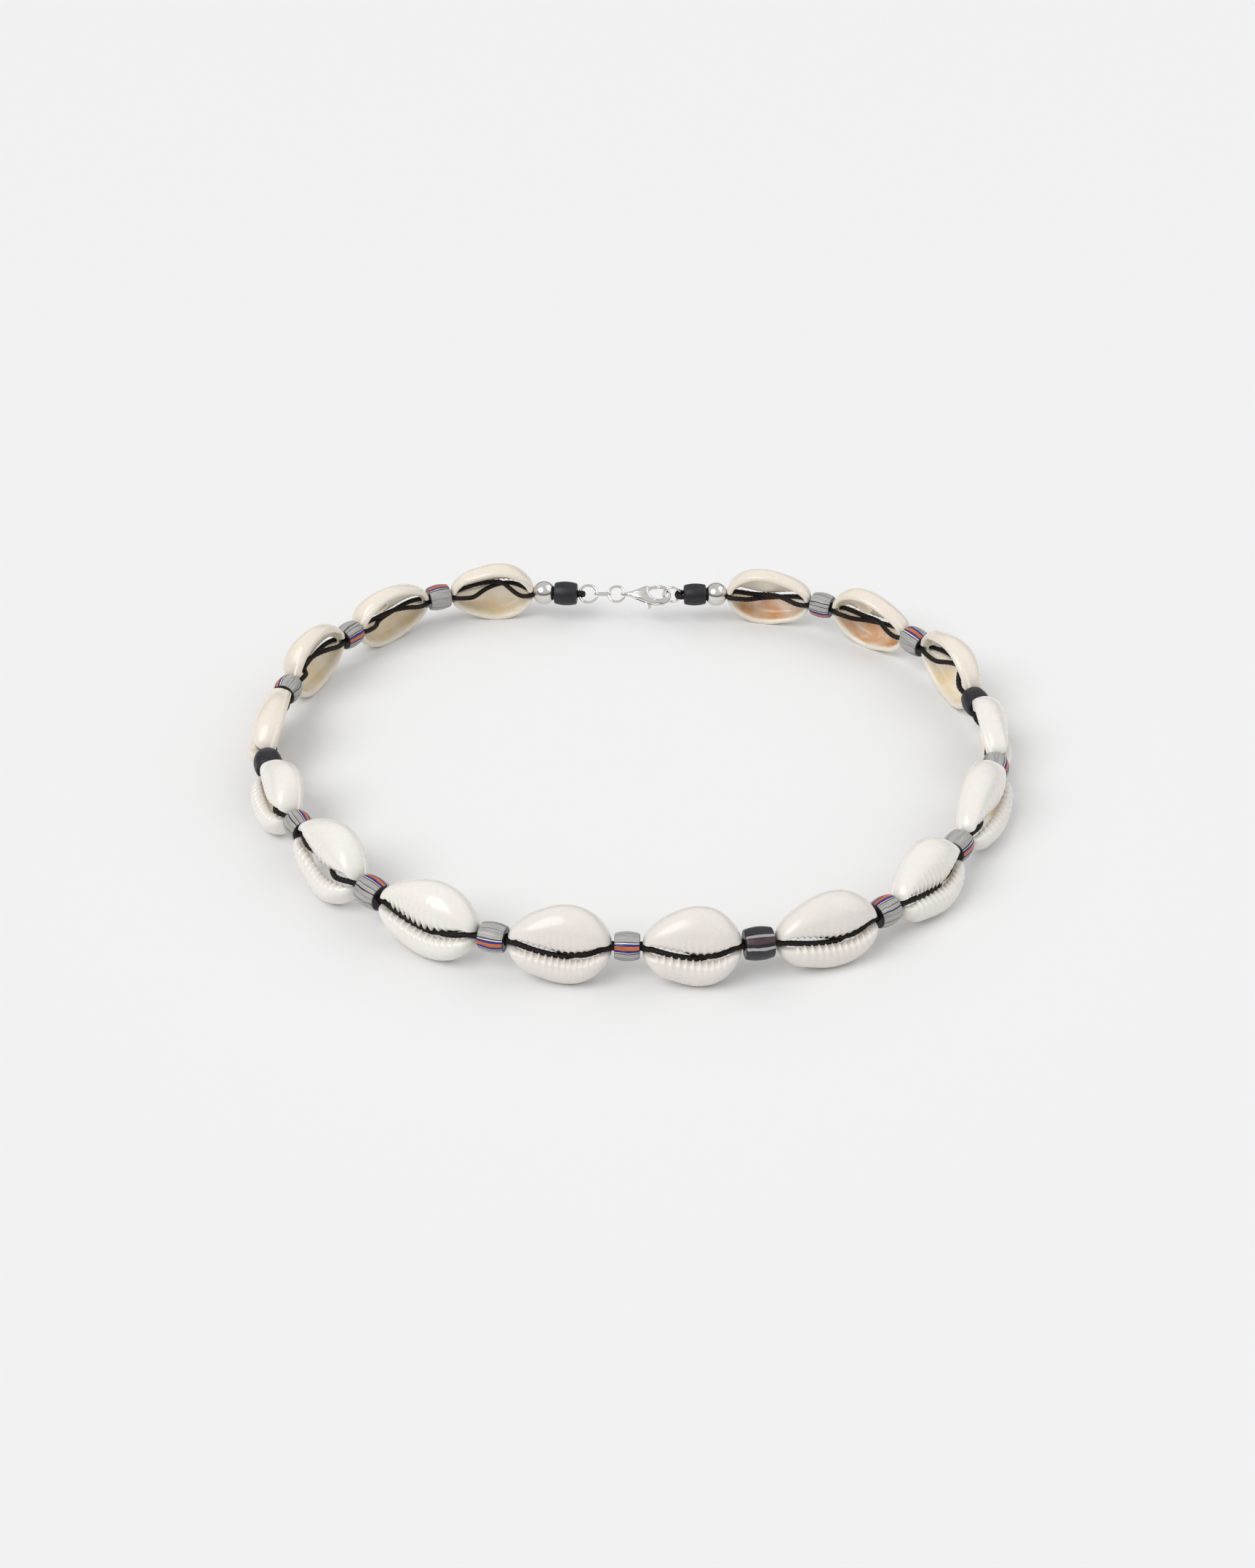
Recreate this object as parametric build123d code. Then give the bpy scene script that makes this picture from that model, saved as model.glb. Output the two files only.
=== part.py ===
from build123d import *
import os
from collections import namedtuple
from math import cos, pi, radians, sin, tan

# Necklace of cut cowrie shells, glass beads and two cord strands, closed by a lobster clasp.
# Frame: +Z up, the necklace stands on z = 0 on the lower edges of its shells.
# The origin is on that surface, under the middle of the ring; the clasp is at +Y.
# Every piece has its own frame: x along the cord, y towards the middle of the ring, z up.

# Cord
STRAND_DIAMETER = 1.0
STRAND_CLEARANCE = 0.15     # between a strand and what it passes through
LANE = 0.62                 # each strand's offset from the cord's line inside a bead
LANE_INSET = 0.05           # how far inside a bead's mouths its strands turn, as a share
BORE_SLACK = 0.35           # room for a strand that leaves a bead's mouth at a slant
INNER_LANE = 1.3            # strand laid over a shell's back rim
OUTER_LANE = 1.2            # strand laid in a shell's aperture
CROSSING_RISE = 0.8         # half the height between the strands' lines where they cross
BEAD_LEAN = 12.0            # degrees, how far the strands' plane leans inwards in the beads
LOOP_CLEARANCE = 0.12       # between the cord's loop and the end ring's wire
BEND_SHARE = 0.45           # share of the shorter run that a bend may use; the end runs count double
SEAT_GAP = 0.25             # between neighbours on the cord

# Cowrie shells
SHELL_LENGTH = 20.3
SHELL_WIDTH = 15.6
SHELL_DEPTH = 8.0           # height of the whole shell before its back is cut off
SHELL_SET_OUT = 0.65        # from the cord's line out to the shell's long axis
BACK_CUT = 1.4              # from the cord's line in to the flat that opens the back
LIP_THICKNESS = 1.9
VALLEY_DEPTH = 1.1          # the lips roll in this far at the aperture
RIM_ROUNDING = 0.3
HOLE_LENGTH = 0.84          # opening of the cut back, as shares of the shell
HOLE_WIDTH = 0.80
APERTURE_LENGTH = 0.88
APERTURE_WIDTH = 1.3        # between the lips, halfway up the teeth
APERTURE_SAG = 1.3          # the aperture's line sinks this far below the cord, past the middle
TOOTH_HEIGHT = 0.3
CANAL_SLOPE = 0.35          # how far the strands' floors draw together towards a shell's end
CANAL_SLACK = 0.36          # more room beside the strand at a shell's ends
STATIONS = 14               # columns of facets along each lip

# Outline of a shell seen on its aperture: station along the length, half width
Station = namedtuple("Station", "along half_width")
OUTLINE = [
    Station(0.000, 0.00),
    Station(0.008, 0.15),
    Station(0.030, 0.29),
    Station(0.110, 0.48),
    Station(0.220, 0.69),
    Station(0.380, 0.91),
    Station(0.560, 1.00),
    Station(0.730, 0.93),
    Station(0.860, 0.73),
    Station(0.950, 0.45),
    Station(0.988, 0.22),
    Station(1.000, 0.00),
]

# Wall of a shell in one column, from the aperture's edge over the lip and the margin
# to the cut rim, and through the hollow back to the aperture
Front = namedtuple("Front", "outwards valley")
FRONT = [
    Front(0.00, 1.00),
    Front(0.10, 0.50),
    Front(0.28, 0.10),
    Front(0.52, 0.00),
    Front(0.76, 0.00),
    Front(0.92, 0.00),
    Front(1.00, 0.00),
]
BACK = [0.88, 0.62]         # from the hole's edge at 0 out to the margin at 1
HOLLOW = [0.96, 0.55]       # from the aperture at 0 out to the hole's edge at 1

# Shells from the clasp round the left, front and right: sizes as shares of the nominal shell,
# and the degrees by which each leans, top towards the middle of the ring
ShellRow = namedtuple("ShellRow", "length width lean turned")
SHELLS = [
    ShellRow(0.95, 0.96, 12, True),
    ShellRow(1.01, 0.97, 12, False),
    ShellRow(0.98, 1.06, 8, False),
    ShellRow(1.12, 0.95, 18, False),
    ShellRow(0.92, 0.94, 23, False),
    ShellRow(1.10, 1.00, 23, False),
    ShellRow(1.09, 0.99, 16, False),
    ShellRow(0.97, 1.01, 12, False),
    ShellRow(0.92, 1.02, 12, False),
    ShellRow(1.03, 0.97, 13, False),
    ShellRow(1.04, 0.97, 22, False),
    ShellRow(1.20, 1.00, 18, False),
    ShellRow(0.96, 0.95, 14, False),
    ShellRow(1.07, 1.05, 8, True),
    ShellRow(1.00, 0.97, 12, False),
    ShellRow(0.97, 0.96, 12, False),
]

# Glass beads between the shells, as shares of the nominal bead
BEAD_LENGTH = 5.3
BEAD_DIAMETER = 5.7
BEAD_END_SHARE = 0.82       # diameter of a bead's end face over its middle
BeadRow = namedtuple("BeadRow", "length diameter")
BEADS = [
    BeadRow(1.00, 1.00),
    BeadRow(1.00, 0.98),
    BeadRow(0.96, 1.00),
    BeadRow(1.00, 1.02),
    BeadRow(0.98, 1.00),
    BeadRow(1.08, 1.08),
    BeadRow(1.02, 1.00),
    BeadRow(0.96, 0.96),
    BeadRow(1.12, 1.10),
    BeadRow(0.98, 1.02),
    BeadRow(1.02, 1.04),
    BeadRow(0.96, 1.02),
    BeadRow(0.98, 1.00),
    BeadRow(1.08, 1.04),
    BeadRow(0.96, 0.98),
]
END_BEAD_LENGTH = 5.6
END_BEAD_DIAMETER = 5.0
END_BEAD_END_SHARE = 0.88
SILVER_DIAMETER = 5.2
SILVER_FLAT_SHARE = 0.66    # diameter of the flat round a silver bead's bore

# Findings
WIRE_DIAMETER = 0.6
LINK_WIRE_DIAMETER = 0.5
END_RING_RADIUS = 2.05      # to the middle of the wire
MIDDLE_RING_RADIUS = 1.85
HOOK_RING_RADIUS = 2.0
LINK_WIDTH = 1.85           # outer width of the small link
RING_SPACING = 2.6          # between the wires that the small link joins
FINDING_GAP = 0.12          # between findings that hang in each other
HOOK_SLACK = 0.35           # between the hook ring's wire and the end of the clasp's mouth
FINDING_TILT = 48.0         # degrees, how far the clasp and its rings face upwards
HOOK_RING_TILT = -7.0

# Lobster clasp, in a frame of its own: x to the hook, y up its face, z out of its face
EYE_X = -5.3
EYE_Y = 0.6                 # the cord's line runs through the clasp at this height
EYE_RADIUS = 0.97
EYE_HEIGHT = 1.0
CLASP_THICKNESS = 1.7
HOOK_THICKNESS = 0.8
NECK = (-4.0, 0.6, 0.55)        # circles of the outline: x, y, radius
SHOULDER = (-0.3, 0.3, 2.15)
HOOK = (2.95, 0.35, 2.4)
MOUTH = (3.05, 0.7, 1.25)       # circles of the opening
MOUTH_ROOT = (1.05, 1.2, 0.75)
GATE_START = 0.3
HOOK_TIP = 2.35
BODY_END = 1.5
PIVOT = (-1.0, 0.4)
PIN_RADIUS = 0.35
HUB_RADIUS = 0.8
LEVER_THICKNESS = 0.6
LEVER_CLEARANCE = 0.1
SLOT_START = -2.6
SLOT_END = 1.1
GATE_ROOT = (0.3, 1.68, 0.42)
GATE_TIP = (1.85, 2.1, 0.37)
NUB_ROOT = (0.0, -1.9, 0.4)
NUB_TIP = (0.3, -2.35, 0.5)

# Route of the cord round the neck, chosen by hand, as shares of the ring's half width
ROUTE = [
    (0.00, 0.87),
    (-0.28, 0.89),
    (-0.59, 0.86),
    (-0.84, 0.62),
    (-0.99, 0.31),
    (-1.00, -0.06),
    (-0.88, -0.36),
    (-0.66, -0.66),
    (-0.35, -0.85),
    (-0.02, -0.89),
    (0.30, -0.88),
    (0.63, -0.75),
    (0.85, -0.47),
    (1.00, -0.10),
    (0.99, 0.24),
    (0.86, 0.57),
    (0.59, 0.81),
    (0.27, 0.88),
]

strand_radius = STRAND_DIAMETER / 2
wire_radius = WIRE_DIAMETER / 2
link_wire_radius = LINK_WIRE_DIAMETER / 2
channel_radius = strand_radius + STRAND_CLEARANCE
bore_radius = LANE + channel_radius + BORE_SLACK
loop_offset = strand_radius + wire_radius + LOOP_CLEARANCE
loop_bore_radius = loop_offset + channel_radius
eye_hole_radius = wire_radius + 2 * FINDING_GAP

Piece = namedtuple("Piece", "name kind row length")


def string_order():
    """Names every piece on the cord from the clasp round the left, with its length."""
    pieces = [Piece("end_bead_left", "end", None, END_BEAD_LENGTH)]
    pieces.append(Piece("silver_bead_left", "silver", None, silver_length()))
    for number, row in enumerate(SHELLS, start=1):
        pieces.append(Piece(f"shell_{number:02d}", "shell", row, SHELL_LENGTH * row.length))
        if number <= len(BEADS):
            bead = BEADS[number - 1]
            pieces.append(Piece(f"glass_bead_{number:02d}", "bead", bead, BEAD_LENGTH * bead.length))
    pieces.append(Piece("silver_bead_right", "silver", None, silver_length()))
    pieces.append(Piece("end_bead_right", "end", None, END_BEAD_LENGTH))
    return pieces


def silver_length():
    """Length of a silver bead between its two flats."""
    flat = SILVER_DIAMETER * SILVER_FLAT_SHARE
    return (SILVER_DIAMETER**2 - flat**2) ** 0.5


# Places of the findings along the straight stretch from the right end bead to the left one
hook_ring_near = SEAT_GAP + wire_radius
hook_ring_far = hook_ring_near + 2 * HOOK_RING_RADIUS
mouth_reach = MOUTH[0] + MOUTH[2] - wire_radius - HOOK_SLACK
clasp_place = hook_ring_far + mouth_reach
middle_ring_near = clasp_place - EYE_X
middle_ring_far = middle_ring_near + 2 * MIDDLE_RING_RADIUS
end_ring_near = middle_ring_far + RING_SPACING
end_ring_far = end_ring_near + 2 * END_RING_RADIUS
findings_length = end_ring_far + wire_radius + SEAT_GAP


def half_width(along):
    """Half width of the outline at a station, as a share, in line between the table's rows."""
    for before, after in zip(OUTLINE, OUTLINE[1:]):
        if along <= after.along:
            share = (along - before.along) / (after.along - before.along)
            return before.half_width + (after.half_width - before.half_width) * share
    return 0.0


def outline_station(width, z):
    """Station near the tip where the outline is as far out as z."""
    wanted = 2 * z / width
    for before, after in zip(OUTLINE, OUTLINE[1:]):
        if after.half_width >= wanted:
            share = (wanted - before.half_width) / (after.half_width - before.half_width)
            return before.along + (after.along - before.along) * share
    return 0.0


Column = namedtuple("Column", "aperture hole margin notch")


def aperture_sag(x):
    """How far the aperture's line lies below the cord, from the tip at -1 to the broad end at 1."""
    return APERTURE_SAG * (1 - x * x) ** 1.5 * (1 + 0.8 * x)


def shell_columns(length, width):
    """Columns of facets round a shell, each with its places on three loops."""
    canal = channel_radius + CANAL_SLACK
    wall = canal + 0.1
    columns = []
    reach = APERTURE_LENGTH * length / 2
    hole_reach, hole_half = HOLE_LENGTH * length / 2, HOLE_WIDTH * width / 2
    near = outline_station(width, wall)

    def end_columns(end, side):
        """Floor and top of the canal's wall on one side of one end."""
        out = []
        for z, notch in ((canal, True), (wall, False)):
            hole_x = end * hole_reach * (1 - (z / hole_half) ** 2) ** 0.5
            margin_x = end * (0.5 - near * z / wall) * length
            out.append(Column((end * reach, side * z), (hole_x, side * z), (margin_x, side * z), notch))
        return out

    def lip(side):
        """Columns along one lip from the tip to the broad end."""
        out = []
        for j in range(1, STATIONS):
            turn = radians(180 * j / STATIONS)
            along = (1 - cos(turn)) / 2
            bite = TOOTH_HEIGHT * (0.5 - j % 2)
            x = -cos(turn)
            sag = aperture_sag(x)
            open_half = APERTURE_WIDTH / 2 + bite * sin(turn)
            ends_open = canal * (1 - sin(turn)) + open_half * sin(turn)
            aperture = (0.97 * reach * x, side * max(ends_open, 0.4) - sag)
            margin = ((along - 0.5) * length, side * half_width(along) * width / 2)
            hole = (hole_reach * x, side * max(hole_half * half_width(along), wall + 0.1))
            out.append(Column(aperture, hole, margin, False))
        return out

    middle_tip = Column((-reach, 0), (-hole_reach, 0), (-length / 2, 0), True)
    middle_end = Column((reach, 0), (hole_reach, 0), (length / 2, 0), True)
    columns.append(middle_tip)
    columns += end_columns(-1, 1) + lip(1) + end_columns(1, 1)[::-1]
    columns.append(middle_end)
    columns += end_columns(1, -1) + lip(-1)[::-1] + end_columns(-1, -1)[::-1]
    return columns


def bulge(length, width, x, z):
    """Height of the whole shell over its middle plane at a place, from its egg shape."""
    share = half_width(min(max(x / length + 0.5, 0.0), 1.0))
    across = abs(z) / max(share * width / 2, 1e-6)
    return SHELL_DEPTH / 2 * share * max(1 - across**2, 0.0) ** 0.5


def between(start, end, share):
    """Point on the line between two places."""
    return tuple(a + (b - a) * share for a, b in zip(start, end))


def wall_section(length, width, column):
    """Closed section of the shell's wall in one column."""
    points = []
    canal_floor = -OUTER_LANE + channel_radius + STRAND_CLEARANCE
    notch_floor = INNER_LANE - channel_radius - STRAND_CLEARANCE
    for row in FRONT:
        x, z = between(column.aperture, column.margin, row.outwards)
        y = -SHELL_SET_OUT - bulge(length, width, x, z)
        edge = bulge(length, width, *column.aperture) / (SHELL_DEPTH / 2)
        y += row.valley * VALLEY_DEPTH * edge
        if column.notch:
            y = canal_floor + CANAL_SLOPE * row.outwards
        points.append(Vector(x, y, z))
    top = notch_floor if column.notch else BACK_CUT
    for share in BACK:
        x, z = between(column.hole, column.margin, share)
        y = min(-SHELL_SET_OUT + bulge(length, width, x, z), top)
        if column.notch:
            y = top - CANAL_SLOPE * share
        points.append(Vector(x, y, z))
    points.append(Vector(column.hole[0], top - RIM_ROUNDING, column.hole[1]))
    for share in HOLLOW:
        x, z = between(column.aperture, column.hole, share)
        y = -SHELL_SET_OUT - bulge(length, width, x, z) + LIP_THICKNESS
        floor = y * (1 - share) + (top - 3 * RIM_ROUNDING) * share * share
        points.append(Vector(x, max(min(floor, top - 2 * RIM_ROUNDING), canal_floor + 0.3), z)
                      if column.notch else Vector(x, min(floor, top - 2 * RIM_ROUNDING), z))
    front_edge = points[0]
    points.append(Vector(front_edge.X, front_edge.Y + LIP_THICKNESS / 3, front_edge.Z))
    return points


def faceted(sections):
    """Solid skin of triangles over sections that follow each other in a ring."""
    faces = []
    for section, following in zip(sections, sections[1:] + sections[:1]):
        count = len(section)
        for i in range(count):
            a, b = section[i], section[(i + 1) % count]
            c, d = following[(i + 1) % count], following[i]
            faces.append(Face(Wire.make_polygon([a, c, b])))
            faces.append(Face(Wire.make_polygon([a, d, c])))
    return Solid(Shell(faces))


def cowrie(length, width):
    """Cowrie shell with its back cut off: a toothed aperture in front, a hole behind."""
    columns = shell_columns(length, width)
    return faceted([wall_section(length, width, column) for column in columns])


def ring_route(length):
    """Closed curve through the route's points, scaled to one length."""
    unit = Spline(*ROUTE, periodic=True)
    return scale(unit, by=length / unit.length, about=(0, 0, 0))


def straight_frame(start, end, lean=0.0):
    """Frame halfway between two points, x along them, y inwards, z up and then leaned in."""
    middle = (start + end) / 2
    return Plane(origin=middle, x_dir=end - start, z_dir=(0, 0, 1)).location * Rot(X=-lean)


def barrel(length, diameter, end_share, bore=bore_radius):
    """Round bead with a bulging side and a bore for both strands."""
    end_radius = diameter * end_share / 2
    side = ThreePointArc((-length / 2, end_radius), (0, diameter / 2), (length / 2, end_radius))
    loop = [(length / 2, end_radius), (length / 2, bore)]
    loop += [(-length / 2, bore), (-length / 2, end_radius)]
    return revolve(make_face(side + Polyline(*loop)), Axis.X)


def ring(radius, wire):
    """Round wire ring lying in its own xy plane."""
    return Torus(radius, wire)


def circle_at(x, y, radius):
    """Edge of a circle, for hulls."""
    return Pos(x, y) * Edge.make_circle(radius)


def hull(*circles):
    """Face round several circles, each given as x, y and radius."""
    return make_hull([circle_at(*circle) for circle in circles])


def clasp_body():
    """Fixed part of the lobster clasp: eye, neck, slotted body, pin and hook."""
    outline = hull(NECK, SHOULDER, HOOK)
    mouth = hull(MOUTH, MOUTH_ROOT)
    reach = 4 * HOOK[2]
    gate_gap = Pos((GATE_START + HOOK_TIP) / 2, MOUTH[1] + reach / 2) * Rectangle(
        HOOK_TIP - GATE_START, reach
    )
    frame = outline - mouth - gate_gap
    left = Pos(BODY_END - reach / 2, 0) * Rectangle(reach, reach)
    body = extrude(frame & left, amount=CLASP_THICKNESS / 2, both=True)
    body += extrude(frame, amount=HOOK_THICKNESS / 2, both=True)
    slot_width = LEVER_THICKNESS + 2 * LEVER_CLEARANCE
    slot = Pos((SLOT_START + SLOT_END) / 2, 0) * Box(SLOT_END - SLOT_START, reach, slot_width)
    body -= slot
    body += Pos(PIVOT[0], PIVOT[1]) * Cylinder(PIN_RADIUS, CLASP_THICKNESS)
    eye_frame = Pos(EYE_X, EYE_Y, 0) * Rot(X=90)
    body += eye_frame * Cylinder(EYE_RADIUS, EYE_HEIGHT)
    body -= eye_frame * Cylinder(eye_hole_radius, 2 * EYE_HEIGHT)
    return body


def clasp_lever():
    """Lever on the clasp's pin: gate above, thumb nub below."""
    hub = (PIVOT[0], PIVOT[1], HUB_RADIUS)
    face = hull(hub, GATE_ROOT) + hull(GATE_ROOT, GATE_TIP)
    face += hull(hub, NUB_ROOT) + hull(NUB_ROOT, NUB_TIP)
    face -= Pos(PIVOT[0], PIVOT[1]) * Circle(PIN_RADIUS + LEVER_CLEARANCE)
    return extrude(face, amount=LEVER_THICKNESS / 2, both=True)


def small_link():
    """Oval link that joins the two rings, lying in its own xy plane."""
    span = RING_SPACING + WIRE_DIAMETER + LINK_WIRE_DIAMETER + 2 * FINDING_GAP
    bend = (LINK_WIDTH - LINK_WIRE_DIAMETER) / 2
    half = span / 2 - bend
    path = Wire([
        Edge.make_line((-half, bend), (half, bend)),
        Edge.make_three_point_arc((half, bend), (half + bend, 0), (half, -bend)),
        Edge.make_line((half, -bend), (-half, -bend)),
        Edge.make_three_point_arc((-half, -bend), (-half - bend, 0), (-half, bend)),
    ])
    return sweep(Plane(origin=(-half, bend, 0), z_dir=(1, 0, 0)) * Circle(link_wire_radius), path=path)


def bend_radii(points):
    """Radius of each bend, as large as its two runs allow; the first and last run serve one bend."""
    runs = [end - start for start, end in zip(points, points[1:])]
    room = [run.length for run in runs]
    room[0] *= 2
    room[-1] *= 2
    radii = []
    for i in range(len(runs) - 1):
        turn = radians(runs[i].get_angle(runs[i + 1]))
        radii.append(BEND_SHARE * min(room[i], room[i + 1]) / tan(turn / 2))
    return radii


def tube(points, radius):
    """Round cord through points, straight runs joined by tangent arcs."""
    radii = bend_radii(points)
    path = FilletPolyline(*points, radius=radii)
    print("bends", len(radii), "tightest", min(radii), "section times length", pi * radius**2 * path.length)
    return sweep(Plane(origin=path @ 0, z_dir=path % 0) * Circle(radius), path=path)


def shell_lane(length, starts_inside):
    """Line of one strand through a shell, in the shell's frame."""
    side = 1 if starts_inside else -1
    inner_y, outer_y = INNER_LANE, -OUTER_LANE
    first_y, last_y = (inner_y, outer_y) if starts_inside else (outer_y, inner_y)
    return [
        Vector(-0.42 * length, first_y, 0),
        Vector(-0.30 * length, first_y * 0.95, 0),
        Vector(0.0, (first_y + last_y) / 2, side * CROSSING_RISE),
        Vector(0.30 * length, last_y * 0.95, 0),
        Vector(0.42 * length, last_y, 0),
    ]


def bead_lane(length, side, start=(0, LANE), end=(0, LANE)):
    """Line of one strand through a bead; each mouth has the lanes' angle and offset."""
    reach = (0.5 - LANE_INSET) * length
    points = []
    for x, (angle, offset) in ((-reach, start), (reach, end)):
        turn = radians(angle)
        points.append(Vector(x, side * offset * cos(turn), side * offset * sin(turn)))
    return points


def placed(location, points):
    """Points of a piece's frame in the necklace's frame."""
    return [(location * Pos(*point)).position for point in points]


def strand_points(pieces, frames, first_side):
    """Line of one strand through all pieces; it changes sides in every shell."""
    left_turn = FINDING_TILT + BEAD_LEAN
    right_turn = HOOK_RING_TILT + BEAD_LEAN
    side = first_side
    points = []
    for piece in pieces:
        if piece.kind == "shell":
            lane = shell_lane(piece.length, side > 0)
            side = -side
        elif piece.name == "end_bead_left":
            lane = bead_lane(piece.length, side, (left_turn, loop_offset), (left_turn / 2, LANE))
        elif piece.name == "end_bead_right":
            lane = bead_lane(piece.length, side, (right_turn / 2, LANE), (right_turn, loop_offset))
        else:
            lane = bead_lane(piece.length, side)
        points += placed(frames[piece.name], lane)
    return points


def loop_points(findings, place, tilt, direction, side):
    """Half of the cord's turn round an end ring's wire, from the bead outwards."""
    turn = findings * Pos(place, 0, 0) * Rot(X=-(90 - tilt))
    half = [
        Vector(-direction * loop_offset / 2, 0, side * loop_offset),
        Vector(direction * loop_offset, 0, side * loop_offset),
        Vector(direction * loop_offset, 0, side * STRAND_CLEARANCE / 2),
    ]
    return placed(turn, half)


def build():
    """Returns every node's solid by name, with the lever's pivot and the ring's inner size."""
    pieces = string_order()
    lengths = [piece.length for piece in pieces]
    total = sum(lengths) + SEAT_GAP * (len(pieces) - 1) + findings_length
    route = ring_route(total)

    # The clasp's stretch is centred on the route's first point
    place = findings_length / 2
    ends = {}
    for piece in pieces:
        ends[piece.name] = (route @ (place / total), route @ ((place + piece.length) / total))
        place += piece.length + SEAT_GAP

    # Shells stand on the ground, and the beads lie between their neighbours' lines
    heights = {}
    shells = {}
    for piece in pieces:
        if piece.kind != "shell":
            continue
        row = piece.row
        shell = cowrie(SHELL_LENGTH * row.length, SHELL_WIDTH * row.width)
        if row.turned:
            shell = Rot(Y=180) * shell
        shells[piece.name] = shell
        lowest = (Rot(X=-row.lean) * shell).bounding_box().min.Z
        heights[piece.name] = -lowest
    frames = {}
    for i, piece in enumerate(pieces):
        around = [p for p in pieces[max(0, i - 2):i + 3] if p.kind == "shell"]
        near = [heights[p.name] for p in around if abs(pieces.index(p) - i) <= 1]
        near = near or [heights[p.name] for p in around]
        height = heights.get(piece.name, sum(near) / len(near))
        lift = Vector(0, 0, height)
        start, end = ends[piece.name]
        lean = piece.row.lean if piece.kind == "shell" else BEAD_LEAN
        frames[piece.name] = straight_frame(start + lift, end + lift, lean)

    # Findings lie on the straight line between the two end beads
    def face_centre(name, side):
        half = END_BEAD_LENGTH / 2 * side
        return (frames[name] * Pos(half, 0, 0)).position

    start, end = face_centre("end_bead_right", 1), face_centre("end_bead_left", -1)
    along = (end - start).normalized()
    middle = (start + end) / 2
    findings = straight_frame(
        middle - along * findings_length / 2, middle + along * findings_length / 2
    ) * Pos(-findings_length / 2, 0, 0)
    facing = Rot(X=-(90 - FINDING_TILT))
    clasp = findings * Pos(clasp_place, 0, 0) * facing * Rot(Z=180) * Pos(0, -EYE_Y, 0)

    nodes = {}
    for piece in pieces:
        frame = frames[piece.name]
        if piece.kind == "bead":
            solid = barrel(piece.length, BEAD_DIAMETER * piece.row.diameter, BEAD_END_SHARE)
            nodes[piece.name] = frame * solid
        elif piece.kind == "end":
            solid = barrel(piece.length, END_BEAD_DIAMETER, END_BEAD_END_SHARE, loop_bore_radius)
            nodes[piece.name] = frame * solid
        elif piece.kind == "silver":
            nodes[piece.name] = frame * barrel(piece.length, SILVER_DIAMETER, SILVER_FLAT_SHARE)

    # Each strand goes half round the wire of the ring at either end
    for name, side in (("cord_strand_a", 1), ("cord_strand_b", -1)):
        first = loop_points(findings, end_ring_far, FINDING_TILT, -1, side)[::-1]
        last = loop_points(findings, hook_ring_near, HOOK_RING_TILT, 1, side)
        line = first + strand_points(pieces, frames, side) + last
        nodes[name] = tube(line, strand_radius)
    for name, shell in shells.items():
        nodes[name] = frames[name] * shell

    nodes["ring_end"] = findings * Pos((end_ring_near + end_ring_far) / 2, 0, 0) * facing * ring(
        END_RING_RADIUS, wire_radius
    )
    nodes["ring_middle"] = findings * Pos(
        (middle_ring_near + middle_ring_far) / 2, 0, 0
    ) * facing * ring(MIDDLE_RING_RADIUS, wire_radius)
    nodes["ring_hook"] = findings * Pos((hook_ring_near + hook_ring_far) / 2, 0, 0) * Rot(
        X=-(90 - HOOK_RING_TILT)
    ) * ring(HOOK_RING_RADIUS, wire_radius)
    nodes["link"] = findings * Pos((middle_ring_far + end_ring_near) / 2, 0, 0) * facing * Rot(
        X=90
    ) * small_link()
    nodes["clasp_body"] = clasp * clasp_body()
    nodes["clasp_lever"] = clasp * clasp_lever()
    pivot = (clasp * Pos(PIVOT[0], PIVOT[1], 0)).position
    axis = pivot - (clasp * Pos(PIVOT[0], PIVOT[1], 1)).position
    return nodes, pivot, axis


def main():
    """Builds the necklace round the origin and writes one file for each node."""
    nodes, pivot, axis = build()
    boxes = [shape.bounding_box() for shape in nodes.values()]
    centre_x = (min(box.min.X for box in boxes) + max(box.max.X for box in boxes)) / 2
    centre_y = (min(box.min.Y for box in boxes) + max(box.max.Y for box in boxes)) / 2
    to_origin = Pos(-centre_x, -centre_y, 0)
    os.makedirs("parts", exist_ok=True)
    for name, shape in nodes.items():
        export_step(to_origin * shape, f"parts/{name}.step")
    print("nodes", len(nodes), "lowest", min(box.min.Z for box in boxes))
    for name in ("cord_strand_a", "cord_strand_b"):
        print(name, "volume of its tube", nodes[name].volume)
    print("lever pivot", (to_origin * Pos(*pivot)).position, "axis", axis)


main()
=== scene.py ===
import logging
import math
from dataclasses import dataclass, replace
from enum import Enum

import bmesh
import bpy
import numpy as np
from mathutils import Matrix, Vector


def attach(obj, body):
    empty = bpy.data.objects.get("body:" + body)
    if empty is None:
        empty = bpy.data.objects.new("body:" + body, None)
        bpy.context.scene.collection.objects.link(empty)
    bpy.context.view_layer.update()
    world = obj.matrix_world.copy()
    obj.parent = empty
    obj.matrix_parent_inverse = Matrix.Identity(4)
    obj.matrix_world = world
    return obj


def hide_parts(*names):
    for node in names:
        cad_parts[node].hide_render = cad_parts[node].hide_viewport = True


# Necklace of cut cowrie shells, glass beads and two waxed cord strands with a lobster clasp.
# Sizes are in millimetres and become metres when a mesh is placed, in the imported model's frame.
# Every piece has its own frame: x along the cord, y towards the middle of the ring, z up.

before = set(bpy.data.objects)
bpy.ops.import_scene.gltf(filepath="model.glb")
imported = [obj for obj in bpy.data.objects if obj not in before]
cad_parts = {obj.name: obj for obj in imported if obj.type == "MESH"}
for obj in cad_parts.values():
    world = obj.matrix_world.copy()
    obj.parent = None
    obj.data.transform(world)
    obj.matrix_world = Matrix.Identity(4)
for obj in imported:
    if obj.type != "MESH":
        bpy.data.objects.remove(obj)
LOG = logging.getLogger("necklace")
MM = 0.001
FULL_TURN = 2 * math.pi
MERGE = 1e-5                # vertices nearer than this are one
BODY = "necklace"
LEVER_BODY = "clasp_lever"

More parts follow.
